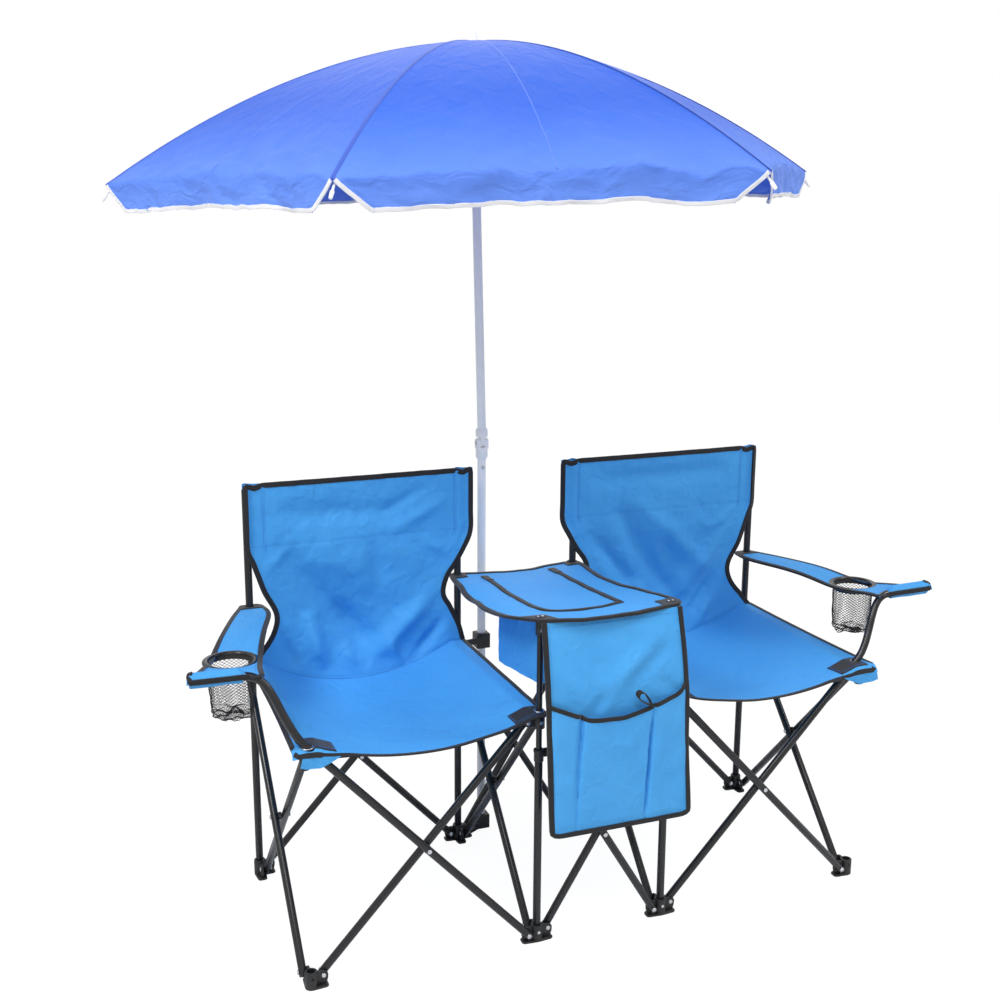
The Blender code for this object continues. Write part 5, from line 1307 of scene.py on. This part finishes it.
def table_place(a, b):
    """A point of the table: a from left to right, b from rear to front."""
    flat = (rear_line(a) * (1 - b) + front_line(a) * b + left_line(b) * (1 - a) + right_line(b) * a
            - corner_rl * (1 - a) * (1 - b) - corner_rr * a * (1 - b)
            - corner_fl * (1 - a) * b - corner_fr * a * b)
    sag = 0.007 * math.sin(math.pi * b) * (0.35 + 0.65 * math.sin(math.pi * a))
    left_sag = 0.010 * math.exp(-(a / 0.10) ** 2) * math.sin(math.pi * b)
    left_sag += 0.0022 * math.exp(-(a / 0.16) ** 2) * math.sin(19 * b) * math.sin(math.pi * b)
    front_sag = 0.004 * math.sin(math.pi * a) * math.exp(-((1 - b) / 0.06) ** 2)
    rear_sag = 0.006 * math.sin(math.pi * a) * math.exp(-(b / 0.10) ** 2)
    wave = 0.0016 * noise.noise(Vector((flat.x * 24, flat.y * 24, 3.3))) * min(1, 4 * min(a, 1 - a) + 0.6)
    near_sides = math.exp(-(a / 0.08) ** 2) + 0.6 * math.exp(-((1 - a) / 0.08) ** 2)
    flat.x += 0.0022 * math.sin(46 * flat.y + 1) * near_sides * math.sin(math.pi * b)
    return middle + Vector((flat.x, flat.y, table_height(flat.y) - sag - left_sag - front_sag - rear_sag + wave))


def on_table(x, y):
    """The shares of a flat place on the table."""
    a, b = 0.5 + x / (2 * table_half_width), 0.5 - y / (2 * table_half_depth)
    for _ in range(30):
        point = table_place(min(max(a, 0), 1), min(max(b, 0), 1)) - middle
        a += (x - point.x) / (2.1 * table_half_width)
        b -= (y - point.y) / (2.1 * table_half_depth)
    return min(max(a, 0), 1), min(max(b, 0), 1)


def laid_tape(place, shares, facing, half_width=0.0066, lift=0.0008, thickness=0.0024):
    """A flat tape sewn on a sheet along a row of shares, its ends turned in."""
    points = [place(a, b) for a, b in shares]
    rings = []
    for n, point in enumerate(points):
        along = (points[min(n + 1, len(points) - 1)] - points[max(n - 1, 0)]).normalized()
        normal = normal_at(place, *shares[n], facing)
        side = normal.cross(along).normalized()
        section = [(-1, 0), (-0.96, 0.7), (-0.8, 1), (0.8, 1), (0.96, 0.7), (1, 0), (0.9, -0.4), (-0.9, -0.4)]
        rings.append([point + side * (s * half_width) + normal * (lift + t * thickness) for s, t in section])
    return skin(rings)


table = cloth_mesh(table_place, 84, 120, 0.33, 0.51)
for column in (2, 3):
    post = upright("rear", column)
    bored(table, post + UP * 0.60, post + UP * 0.70, tube_radius + 0.0016)
table = settle(table, "table_top_cloth", "rear_slider_2", "azure_cloth", azure_cloth, "table_top", angle=60)
line = [(0.012, 0.004)] + shares_between((0.035, 0), (0.965, 0), 50) + [(0.988, 0.004), (0.996, 0.010)]
line += shares_between((1, 0.025), (1, 0.975), 80) + [(0.996, 0.990), (0.984, 0.997)]
line += shares_between((0.96, 1), (0.04, 1), 50) + [(0.016, 0.997), (0.004, 0.990)]
line += shares_between((0, 0.975), (0, 0.025), 80) + [(0.004, 0.010)]
table_tape = taped(table_place, line, inside=0.0104, half=0.0034, closed=True)
settle(table_tape, "table_top_binding", "rear_slider_2", "black_binding", tape_cloth, angle=50)
flap_left = [(-0.094, 0.192), (-0.100, 0.10), (-0.106, 0.00), (-0.110, -0.10), (-0.106, -0.163), (-0.078, -0.192),
             (-0.036, -0.203), (0.010, -0.196), (0.062, -0.178)]
flap_right = [(0.072, 0.199), (0.069, 0.10), (0.065, 0.00), (0.062, -0.09), (0.060, -0.168)]
flap_tapes = []
for points in (flap_left, flap_right):
    line = smooth_line([(x, y, 0) for x, y in points], 8)
    shares = [on_table(point.x, point.y) for point in line]
    flap_tapes.append(laid_tape(table_place, shares, UP))
    flap_tapes.append(laid_tape(table_place, shares[:5], UP, 0.0084, 0.0028, 0.0014))
flap_tape = settle(joined(flap_tapes), "table_flap_tape", "rear_slider_2", "black_binding", tape_cloth, angle=50)
patches, heads, rings = [], [], []
for column in (2, 3):
    x = column_x[column - 1] - middle.x
    a, b = on_table(x, row_half)
    square = patch(table_place, (max(a - 0.065, 0.012), 0.012), (min(a + 0.065, 0.988), b + 0.048), 0.0030)
    post = upright("rear", column)
    bored(square, post + UP * 0.60, post + UP * 0.70, tube_radius + 0.0009)
    patches.append(square)
    rings.append(ring_round(post + UP * (table_place(a, b).z + 0.0044), UP, tube_radius + 0.0028, 0.0020))
    a, b = on_table(x, -row_half)
    patches.append(patch(table_place, (max(a - 0.070, 0.012), b - 0.052), (min(a + 0.070, 0.988), 0.985), 0.0030))
    spot = table_place(a, b)
    rings.append(round_bar(spot + UP * 0.0010, spot + UP * 0.0052, 0.0105, 0.0012, 32))
    heads += [dome(spot + Vector((out, 0, 0.0050)), UP, 0.0027, 0.0012) for out in (-0.0048, 0.0048)]
table_patches = settle(joined(patches), "table_corner_patches", "rear_slider_2", "black_binding", patch_cloth,
                       angle=50)
table_rings = settle(joined(rings), "table_corner_rings", "rear_slider_2", "black_nylon", black_nylon)
table_screws = settle(joined(heads), "table_corner_screws", "rear_slider_2", "bright_rivets", bright_steel)
runs = []
for side_of_tape in (-0.0044, 0.0044):
    for points in (flap_left, flap_right):
        line = smooth_line([(x + side_of_tape, y, 0) for x, y in points], 4)
        runs.append(stitched(table_place, [on_table(p.x, p.y) for p in line], UP, lift=0.0031))
tape_thread = coat("black_thread", (0.02, 0.02, 0.022), (0.05, 0.05, 0.05), 0.6, 0.7, 2400, 60, 0.00003)
table_thread = settle(joined(runs), "table_flap_stitches", "rear_slider_2", "black_binding", tape_thread)
for piece in (table, table_tape, flap_tape, table_patches, table_rings, table_screws, table_thread):
    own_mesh(piece)

# Cooler
# A soft lined bag sewn under the table, open to its flap. Its sides are blue cloth over thin foam, seamed
# at the corners, and its floor hangs a little.
cooler_half_width = 0.130
cooler_low, cooler_high = Vector((-cooler_half_width, -0.204, 0.530)), Vector((cooler_half_width, 0.022, 0.690))
cooler_middle = (cooler_low.y + cooler_high.y) / 2
cooler_half = (cooler_high.y - cooler_low.y) / 2
bpy.ops.mesh.primitive_cube_add(size=1, location=(cooler_low + cooler_high) / 2, scale=cooler_high - cooler_low)
bag = bpy.context.object
bpy.ops.object.transform_apply(location=True, rotation=True, scale=True)
for elements in (bag.data.vertices, bag.data.edges, bag.data.polygons):
    elements.foreach_set("select", [False] * len(elements))
max(bag.data.polygons, key=lambda face: face.center.z).select = True
bpy.ops.object.mode_set(mode="EDIT")
bpy.ops.mesh.select_mode(type="FACE")
bpy.ops.mesh.delete(type="FACE")
bpy.ops.mesh.select_all(action="SELECT")
bpy.ops.mesh.subdivide(number_cuts=27)
bpy.ops.object.mode_set(mode="OBJECT")
roll = 0.014                # radius of the bag's upright corners
for vertex in bag.data.vertices:
    u, v = vertex.co.x / cooler_half_width, (vertex.co.y - cooler_middle) / cooler_half
    w = (vertex.co.z - cooler_low.z) / (cooler_high.z - cooler_low.z)
    dx = max(abs(vertex.co.x) - (cooler_half_width - roll), 0)
    dy = max(abs(vertex.co.y - cooler_middle) - (cooler_half - roll), 0)
    if dx and dy:
        away = math.hypot(dx, dy)
        if away > roll:
            vertex.co.x -= math.copysign(dx * (1 - roll / away), vertex.co.x)
            vertex.co.y -= math.copysign(dy * (1 - roll / away), v)
    soft = noise.noise(vertex.co * 17) * 0.0022 + noise.noise(vertex.co * 45) * 0.0007
    if abs(u) > 0.93:
        vertex.co.x += math.copysign((0.003 * math.cos(v * math.pi / 2) * math.sin(math.pi * w) + soft), u)
    if abs(v) > 0.95:
        vertex.co.y += math.copysign((0.002 * math.cos(u * math.pi / 2) * math.sin(math.pi * w) + soft), v)
    if w < 0.02:
        vertex.co.z -= 0.004 * max(math.cos(u * math.pi / 2) * math.cos(v * math.pi / 2), 0) - soft
    vertex.co.z += (1 - w) * (0.015 - 0.033 * (v + 1) / 2)
    top = table_height(vertex.co.y) - 0.0125 - 0.004 * math.cos(u * math.pi / 2) * math.cos(v * math.pi / 2)
    stretch = (top - cooler_low.z) / (cooler_high.z - cooler_low.z)
    vertex.co.z = cooler_low.z + (vertex.co.z - cooler_low.z) * stretch
bag.data.transform(Matrix.Translation(middle))
in_edit(bag, lambda: bpy.ops.uv.cube_project(cube_size=1.0))
face_outwards(bag)
apply_modifier(bag, "SOLIDIFY", thickness=0.0032, offset=-1)
bag = settle(bag, "cooler_bag_cloth", "rear_slider_2", "azure_cloth", azure_cloth, "cooler_bag", angle=50)
seams = []
for corner_x in (-1, 1):
    for corner_y in (-1, 1):
        y = cooler_middle + corner_y * (cooler_half - 0.0040)
        low = middle + Vector((corner_x * 0.1260, y, 0.534 - 0.014 * corner_y))
        high = Vector((low.x, low.y, table_height(y) - 0.017))
        steps = [low.lerp(high, n / 12) + Vector((0.0006 * math.sin(n), 0.0006 * math.cos(n), 0))
                 for n in range(13)]
        seams.append(bent_bar(smooth_line(steps, 3), 0.0016, 3))
seams = settle(joined(seams), "cooler_corner_seams", "rear_slider_2", "azure_cloth", azure_cloth, angle=60)
for piece in (bag, seams):
    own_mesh(piece)

# Pocket panel
# A bound panel hangs from the table's front edge in front of the middle bay. A wide pocket is sewn to its
# lower half, with two pleats, a bound mouth and a small loop of black webbing.
panel_half, panel_low, panel_high = 0.153, 0.268, 0.690
panel_round = 0.012         # radius of its lower corners
panel_line = table_of([(0.2620, 0.694), (0.281, 0.62), (0.2955, 0.538), (0.306, 0.40), (0.3225, 0.264)],
                      panel_low, panel_high)
panel_folds = [((0.09, 0.635), (-0.02, 0.545), 0.020, 0.0065), ((-0.06, 0.640), (-0.03, 0.560), 0.024, -0.0040),
               ((0.11, 0.615), (0.03, 0.560), 0.016, -0.0050), ((-0.03, 0.540), (-0.05, 0.510), 0.014, -0.0045),
               ((0.10, 0.550), (0.14, 0.520), 0.014, -0.0040), ((0.02, 0.680), (0.09, 0.650), 0.020, 0.0030),
               ((-0.12, 0.600), (-0.07, 0.530), 0.014, 0.0035)]
mouth_points = [(-0.153, 0.536), (-0.125, 0.526), (-0.073, 0.503), (0.000, 0.498), (0.064, 0.511), (0.124, 0.526),
                (0.142, 0.539), (0.153, 0.553)]


def corner_in(z):
    """How far the rounded lower corners draw a side in at a height."""
    below = max(panel_low + panel_round - z, 0)
    return panel_round - math.sqrt(max(panel_round ** 2 - below ** 2, 0))


def panel_place(a, b):
    """A point of the panel: a from left to right, b from its lower edge to the table."""
    z = span(panel_low, panel_high, b)
    x = span(-1, 1, a) * (panel_half - corner_in(z) - 0.003 * max(b - 0.8, 0) / 0.2)
    y = -panel_line(z) - fold_rise(panel_folds, x, z) * min(1, (1 - b) / 0.08) * math.sin(math.pi * a) ** 0.4
    y += 0.0012 * math.sin(31 * z + 9 * x) * math.exp(-((abs(x) - panel_half) / 0.03) ** 2)
    return middle + Vector((x, y, z - 0.004 * math.sin(math.pi * a) * max(b - 0.9, 0) * 10))


def mouth_height(x):
    for (x0, z0), (x1, z1) in zip(mouth_points, mouth_points[1:]):
        if x0 <= x <= x1:
            return span(z0, z1, (x - x0) / (x1 - x0))
    return mouth_points[0][1] if x < 0 else mouth_points[-1][1]


def pocket_place(a, b):
    """A point of the pocket: a from left to right, b from its lower seam to its mouth."""
    x0 = span(-panel_half + 0.001, panel_half - 0.001, a)
    soft = sum(mouth_height(x0 + d) for d in (-0.008, -0.004, 0, 0.004, 0.008)) / 5
    z = span(panel_low + 0.004, soft, b)
    x = x0 * (panel_half - corner_in(z)) / panel_half
    belly = math.sin(math.pi * min(max(a, 0), 1))
    level = 1 - b
    deep = 0.0036 + 0.0145 * belly ** 0.75 * (1 - level * level)
    left_pleat = x - span(-0.099, -0.082, b)
    right_pleat = x - span(0.049, 0.069, b)
    opened = 0.25 + 0.75 * b
    folded = 1 if left_pleat < 0 else math.exp(-left_pleat / 0.002)
    deep -= 0.0110 * opened * math.exp(-(left_pleat / 0.009) ** 2) * folded
    deep -= 0.0150 * math.sin(math.pi * min(max(b, 0.05), 0.93)) * math.exp(-(right_pleat / 0.0035) ** 2)
    deep += 0.0028 * math.exp(-((left_pleat - 0.03) / 0.03) ** 2) * b
    deep += 0.0020 * math.exp(-((right_pleat - 0.02) / 0.015) ** 2)
    deep += 0.0020 * math.exp(-((x + 0.13) / 0.012) ** 2 - ((z - 0.36) / 0.09) ** 2)
    deep += 0.0022 * noise.noise(Vector((x * 22, z * 22, 8.1)))
    rim = min((z - panel_low) / 0.022, (panel_half - abs(x)) / 0.016, 1)
    return middle + Vector((x, -panel_line(z) - 0.0018 - max(deep * rim, 0), z))


panel = settle(cloth_mesh(panel_place, 90, 124, 0.306, 0.43), "pocket_panel_cloth", "front_upper_2",
               "azure_cloth", azure_cloth, "pocket_panel", angle=60)
pocket = settle(cloth_mesh(pocket_place, 110, 80, 0.33, 0.25), "pocket_cloth", "front_upper_2", "azure_cloth",
                azure_cloth, angle=60)


def rim_place(a, b):
    """The panel's rim, standing forward over the pocket's sewn edge."""
    point = panel_place(a, b)
    return point + Vector((0, -0.0022 * min(max((0.55 - point.z) / 0.02, 0), 1), 0))


line = shares_between((0, 1), (0, 0.035), 90) + [(0.002, 0.018), (0.012, 0.006), (0.03, 0.0008)]
line += shares_between((0.05, 0), (0.95, 0), 60) + [(0.97, 0.0008), (0.988, 0.006), (0.998, 0.018)]
line += shares_between((1, 0.035), (1, 1), 90)
panel_tape = settle(taped(rim_place, line, inside=0.0088, half=0.0042), "pocket_panel_binding", "front_upper_2",
                    "black_binding", tape_cloth, angle=50)
line = shares_between((0.012, 1), (0.988, 1), 90)
mouth_tape = settle(taped(pocket_place, line, inside=0.0074), "pocket_mouth_binding", "front_upper_2",
                    "black_binding", tape_cloth, angle=50)
rings = []
loop_middle = pocket_place(0.66, 1.0) + Vector((-0.002, -0.003, 0.020))
along = Vector((-0.70, -0.12, 0.70)).normalized()
across = Vector((0.70, 0, 0.70)).normalized()
band = (along.cross(across) + along * 0.6).normalized()
loop_section = [(-0.8, -1), (0.8, -1), (1.2, -0.7), (1.2, 0.7), (0.8, 1), (-0.8, 1), (-1.2, 0.7), (-1.2, -0.7)]
loop_steps = 40
for step in range(loop_steps):
    turn = 2 * math.pi * step / loop_steps
    out = (along * 0.4 * math.cos(turn) + across * math.sin(turn)).normalized()
    pinch = 0.58 + 0.42 * math.cos(turn)
    centre = loop_middle + along * 0.0240 * math.cos(turn) + across * 0.0110 * pinch * math.sin(turn)
    rings.append([centre + out * s * 0.0009 + band * t * 0.0052 for s, t in loop_section])
loop = settle(skin(rings, closed=True), "pocket_loop", "front_upper_2", "black_binding", tape_cloth, angle=50)
runs = [stitched(panel_place, shares_between((0.03, 0.975), (0.97, 0.975), 50), FORWARD)]
for start, end in (((0.174, 0.02), (0.236, 0.96)), ((0.665, 0.02), (0.728, 0.96))):
    runs.append(stitched(pocket_place, shares_between(start, end, 60), FORWARD))
panel_thread = settle(joined(runs), "pocket_stitches", "front_upper_2", "azure_cloth", thread_colour)
for piece in (panel, pocket, panel_tape, mouth_tape, loop, panel_thread):
    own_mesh(piece)

# Umbrella mast
# Two white enamelled steel poles joined by a moulded white tilt knuckle with a bright pin, and a spring
# button below it. The mast stands in the cup at the rear foot and is steadied by the ring at the seat.
white_enamel = coat("white_enamel", (0.93, 0.935, 0.95), (0.80, 0.80, 0.81), 0.24, 0.38, 700, 12, 0.00004)
white_plastic = coat("white_plastic", (0.92, 0.92, 0.93), (0.78, 0.78, 0.79), 0.40, 0.52, 900, 30, 0.00005)
pole_radius = 0.0095
knuckle_radius = 0.0135
tilt_height = pivot["umbrella_tilt"].z
knuckle_low, slot_low = tilt_height - 0.036, tilt_height - 0.011
split, knuckle_top = tilt_height + 0.013, tilt_height + 0.032
button_height = knuckle_low - 0.020
apex, dome_rise, canopy_radius = 1.793, 0.279, 0.766
dome_power = 1.85           # how the dome's fall grows with the distance from its top
runner_height = apex - 0.295
prop_radius = 0.36          # where the stretchers meet the ribs
lean = Matrix.Rotation(-math.radians(1.15), 4, "Y") @ Matrix.Rotation(-math.radians(0.9), 4, "X")


def on_mast(height):
    return Vector((mast.x, mast.y, height))


leaning = Matrix.Translation(on_mast(knuckle_top)) @ lean @ Matrix.Translation(-on_mast(knuckle_top))


def leaned(made):
    """Turns a piece made upright above the knuckle to the mast's own lean."""
    made.data.transform(leaning)
    return made


def cheek(low_x, high_x, foot, sign):
    """A plate across X from a height to the tilt axis, rounded about it."""
    arc = []
    for step in range(13):
        turn = math.pi * step / 12
        arc.append(Vector((mast.x + (low_x + high_x) / 2, mast.y + 0.0095 * math.cos(turn),
                           tilt_height + sign * 0.0095 * math.sin(turn))))
    arc += [Vector((arc[0].x, mast.y - 0.0095, foot)), Vector((arc[0].x, mast.y + 0.0095, foot))]
    return flat_plate(arc, RIGHT, high_x - low_x, 0.0004)


slot = 0.0053
lower_pole = round_bar(on_mast(0.0083), on_mast(knuckle_low + 0.001), pole_radius, 0.0006, 40)
bored(lower_pole, on_mast(button_height), on_mast(button_height) + FORWARD * 0.012, 0.0041)
lower_pole = settle(lower_pole, "umbrella_pole_lower_enamel", "umbrella_mast", "white_enamel", white_enamel,
                    "umbrella_pole_lower")
knuckle = united([
    round_bar(on_mast(knuckle_low - 0.0002), on_mast(knuckle_low + 0.004), knuckle_radius - 0.0014, 0.0008, 40),
    round_bar(on_mast(knuckle_low + 0.003), on_mast(slot_low), knuckle_radius, 0.0012, 40),
    cheek(slot, knuckle_radius - clearance, slot_low - 0.002, 1),
    cheek(-knuckle_radius + clearance, -slot, slot_low - 0.002, 1)])
settle(knuckle, "umbrella_knuckle_lower", "umbrella_mast", "white_enamel", white_plastic, angle=35)
tilt_axis = on_mast(tilt_height)
pin = joined([round_bar(tilt_axis + LEFT * 0.0136, tilt_axis + RIGHT * 0.0136, 0.0025, 0, 16)]
             + [dome(tilt_axis + way * 0.0132, way, 0.0045, 0.0017) for way in (LEFT, RIGHT)])
settle(pin, "umbrella_tilt_pin", "umbrella_mast", "bright_rivets", bright_steel)
button_spot = on_mast(button_height)
button = round_bar(button_spot + FORWARD * 0.0033, button_spot + FORWARD * 0.0125, 0.0035, 0.0012, 24)
settle(button, "umbrella_button_steel", "push_button", "bright_rivets", bright_steel, "umbrella_push_button")
upper_knuckle = united([
    round_bar(on_mast(split), on_mast(knuckle_top - 0.003), knuckle_radius, 0.0012, 40),
    round_bar(on_mast(knuckle_top - 0.005), on_mast(knuckle_top), knuckle_radius - 0.0014, 0.0008, 40),
    cheek(-0.005, 0.005, split + 0.002, -1)])
bored(upper_knuckle, tilt_axis + LEFT * 0.01, tilt_axis + RIGHT * 0.01, 0.0028, 16)
settle(upper_knuckle, "umbrella_knuckle_upper", "umbrella_top", "white_enamel", white_plastic, angle=35)
upper_pole = leaned(round_bar(on_mast(knuckle_top - 0.001), on_mast(apex + 0.012), pole_radius, 0.0006, 40))
settle(upper_pole, "umbrella_pole_upper_enamel", "umbrella_top", "white_enamel", white_enamel,
       "umbrella_pole_upper")
finial = joined([leaned(round_bar(on_mast(apex + 0.0005), on_mast(apex + 0.006), 0.0105, 0.0012, 32)),
                 leaned(round_bar(on_mast(apex + 0.005), on_mast(apex + 0.0258), 0.0088, 0.0022, 32, 0.0066))])
settle(finial, "umbrella_finial", "umbrella_top", "white_enamel", white_plastic, angle=35)

# Canopy
# Six gores of thin royal blue polyester meet over the ribs. They turn down at the rim into a valance that is
# slit at each rib, and the valance is bound in narrow white tape.
gore_count = 6
first_rib = math.radians(-38.4)
valance_share = 0.16
# Its last argument paints shade on the gores: darker towards the top and lighter towards the hem, standing in for
# light through the thin cloth.
royal_cloth = cloth_finish("royal_polyester", (0.165, 0.330, 0.950), (0.130, 0.270, 0.860), 0.50, 1500, 16,
                           0.0070, 0.03, 0.25, ((0.17, 0.37, 0.67), (1.0, 1.0, 1.0), 0.46, 0.92))
royal_seam = cloth_finish("royal_seam", (0.055, 0.120, 0.540), (0.040, 0.095, 0.460), 0.5, 1500, 60,
                          0.0006, 0.05)
royal_thread = cloth_finish("royal_thread", (0.130, 0.240, 0.800), (0.100, 0.200, 0.700), 0.5, 1500, 60,
                            0.0004, 0.05)
white_tape = cloth_finish("white_binding_tape", (0.86, 0.86, 0.88), (0.70, 0.70, 0.74), 0.7, 900, 90, 0.0004, 0.1,
                          0.3)


def rib_out(number):
    turn = first_rib + 2 * math.pi * number / gore_count
    return Vector((math.sin(turn), -math.cos(turn), 0))


def dome_height(radius):
    return apex - dome_rise * (radius / canopy_radius) ** dome_power


def gore_place(number):
    def place(a, b):
        """A point of a gore: a from rib to rib, b from the top to the valance's hem."""
        rim = min(b / (1 - valance_share), 1)
        radius = span(0.0125, canopy_radius, rim)
        down = max(b - 1 + valance_share, 0) / valance_share
        inset = 0.082 * down ** 1.15
        share = span(inset, 1 - inset, a)
        level = (radius / canopy_radius) ** 4
        flat = rib_out(number).lerp(rib_out(number + 1), share) * radius
        between = 4 * share * (1 - share)
        flat -= flat.normalized() * (0.012 * between * level)
        z = dome_height(radius) + 0.014 * between * level
        outwards = flat.normalized()
        point = on_mast(z) + flat
        near_rim = rim ** 6 * (1 - 0.6 * down)
        edge = min(1, between * 2.5)
        wrinkle = noise.noise(Vector((share * 9 + number * 7, rim * 7, 0.3))) * 0.0080
        wrinkle += noise.noise(Vector((share * 22 + number * 5, rim * 26 + share * 9, 1.7))) * 0.0060
        wrinkle += noise.noise(Vector((share * 44 - rim * 20, rim * 50, number * 3.1))) * 0.0026
        pull = math.sin(9 * (1 - rim) * 3 + share * 21 + number) * 0.0014 * between
        swell = noise.noise(Vector((share * 3 + number * 3, rim * 4, 5.1))) * 0.0040 * between * rim
        point += UP * ((wrinkle * 1.3 + pull) * near_rim * edge + swell)
        if down:
            fall = 0.060 * down
            curl = 0.006 * math.sin(min(down * 3, 1) * math.pi / 2)
            ripple = 0.0045 * math.sin(share * 15 + number * 2.2) + 0.0030 * math.sin(share * 31 + number)
            ripple *= down
            ripple += 0.0050 * noise.noise(Vector((share * 30, down * 2.2 + number, 4.0)))
            point += outwards * (curl * 0.35 - 0.006 * down + ripple * edge) - UP * fall
            point += UP * noise.noise(Vector((share * 8, number * 3.7, 2.0))) * 0.003 * down
        return leaning @ point
    return place


gores = [cloth_mesh(gore_place(number), 44, 84, 0.77, 0.86, 0) for number in range(gore_count)]
canopy = joined(gores)
weld(canopy, 0.0004)
apply_modifier(canopy, "SOLIDIFY", thickness=0.0012, offset=0)
canopy = settle(canopy, "umbrella_canopy_cloth", "umbrella_top", "royal_cloth", royal_cloth, "umbrella_canopy",
                angle=50)
rim_share = 1 - valance_share
hems, seams, middles = [], [], []
for number in range(gore_count):
    place = gore_place(number)
    line = [(0.0, span(rim_share, 1, s)) for s in (0.06, 0.2, 0.4, 0.6, 0.8, 0.93)]
    line += [(0.006, 0.995)] + shares_between((0.02, 1), (0.98, 1), 60) + [(0.994, 0.995)]
    line += [(1.0, span(rim_share, 1, s)) for s in (0.93, 0.8, 0.6, 0.4, 0.2, 0.06)]
    hems.append(taped(place, line, inside=0.0062, outside=0.0016, half=0.0017))
    line = shares_between((0.0, 0.03), (0.0, rim_share), 60)
    seams.append(laid_tape(place, line, UP, 0.0036, 0.0004, 0.0010))
    line = shares_between((0.5, 0.05), (0.5, rim_share), 60)
    middles.append(laid_tape(place, line, UP, 0.0010, 0.0004, 0.0006))
canopy_hem = settle(joined(hems), "umbrella_canopy_hem", "umbrella_top", "white_binding", white_tape, angle=50)
canopy_seams = settle(joined(seams), "umbrella_canopy_seams", "umbrella_top", "royal_cloth", royal_seam, angle=50)
gore_stitches = settle(joined(middles), "umbrella_gore_stitches", "umbrella_top", "royal_cloth", royal_thread,
                       angle=50)

# Ribs and stretchers
# White steel rods run from a notched crown to the rib tips, propped by stretchers from the runner on the
# pole. A small white cap on each tip holds the gores' corners.
def rib_height(radius):
    slope = dome_power * dome_rise / canopy_radius * (radius / canopy_radius) ** (dome_power - 1)
    return dome_height(radius) - 0.0050 * math.hypot(1, slope) - slope * 0.0022


crown_top = rib_height(0.020)
rib_shares = (0.08, 0.15, 0.25, 0.32, 0.42, 0.5, 0.58, 0.66, 0.73, 0.8, 0.86, 0.91, 0.955)
rib_radii = [0.0150] + [canopy_radius * share for share in rib_shares]
rods, caps = [], []
for number in range(gore_count):
    out = rib_out(number)
    path = [on_mast(rib_height(radius)) + out * radius for radius in rib_radii]
    path.append(on_mast(rib_height(canopy_radius * 0.97) - 0.001) + out * canopy_radius * 0.972)
    cap_start = on_mast(apex - dome_rise - 0.0215) + out * (canopy_radius + 0.0024)
    path.append(cap_start)
    rods.append(leaned(bent_bar(path, 0.0022, 3)))
    along = (path[-1] - path[-2]).normalized()
    low, high = cap_start - along * 0.002, cap_start + along * 0.0135
    caps.append(leaned(round_bar(low, high, 0.0040, 0.0012, 20, 0.0032)))
    joint = on_mast(rib_height(prop_radius)) + out * prop_radius
    eye = on_mast(runner_height + 0.017) + out * 0.0137
    rods.append(leaned(round_bar(eye, joint, 0.0020, 0, 12)))
    low, high = joint - UP * 0.003 - out * 0.005, joint + UP * 0.001 + out * 0.005
    rods.append(leaned(round_bar(low, high, 0.0036, 0.0008, 12)))
settle(joined(rods), "umbrella_ribs", "umbrella_top", "white_enamel", white_enamel, "umbrella_rib_frame")
settle(joined(caps), "umbrella_tip_caps", "umbrella_top", "white_enamel", white_plastic, angle=35)
runner = united([round_bar(on_mast(runner_height + low), on_mast(runner_height + high), radius, soft, 36)
                 for low, high, radius, soft in ((0, 0.020, 0.0145, 0.001), (0.013, 0.025, 0.018, 0.0012),
                                                 (0.023, 0.034, 0.0140, 0.001))])
bored(runner, on_mast(runner_height - 0.005), on_mast(runner_height + 0.045), mast_bore, 40)
crown = round_bar(on_mast(crown_top - 0.014), on_mast(crown_top), 0.020, 0.0012, 36)
bored(crown, on_mast(crown_top - 0.02), on_mast(crown_top + 0.01), mast_bore, 40)
settle(leaned(joined([runner, crown])), "umbrella_runner_and_crown", "umbrella_top", "white_enamel",
       white_plastic, angle=35)
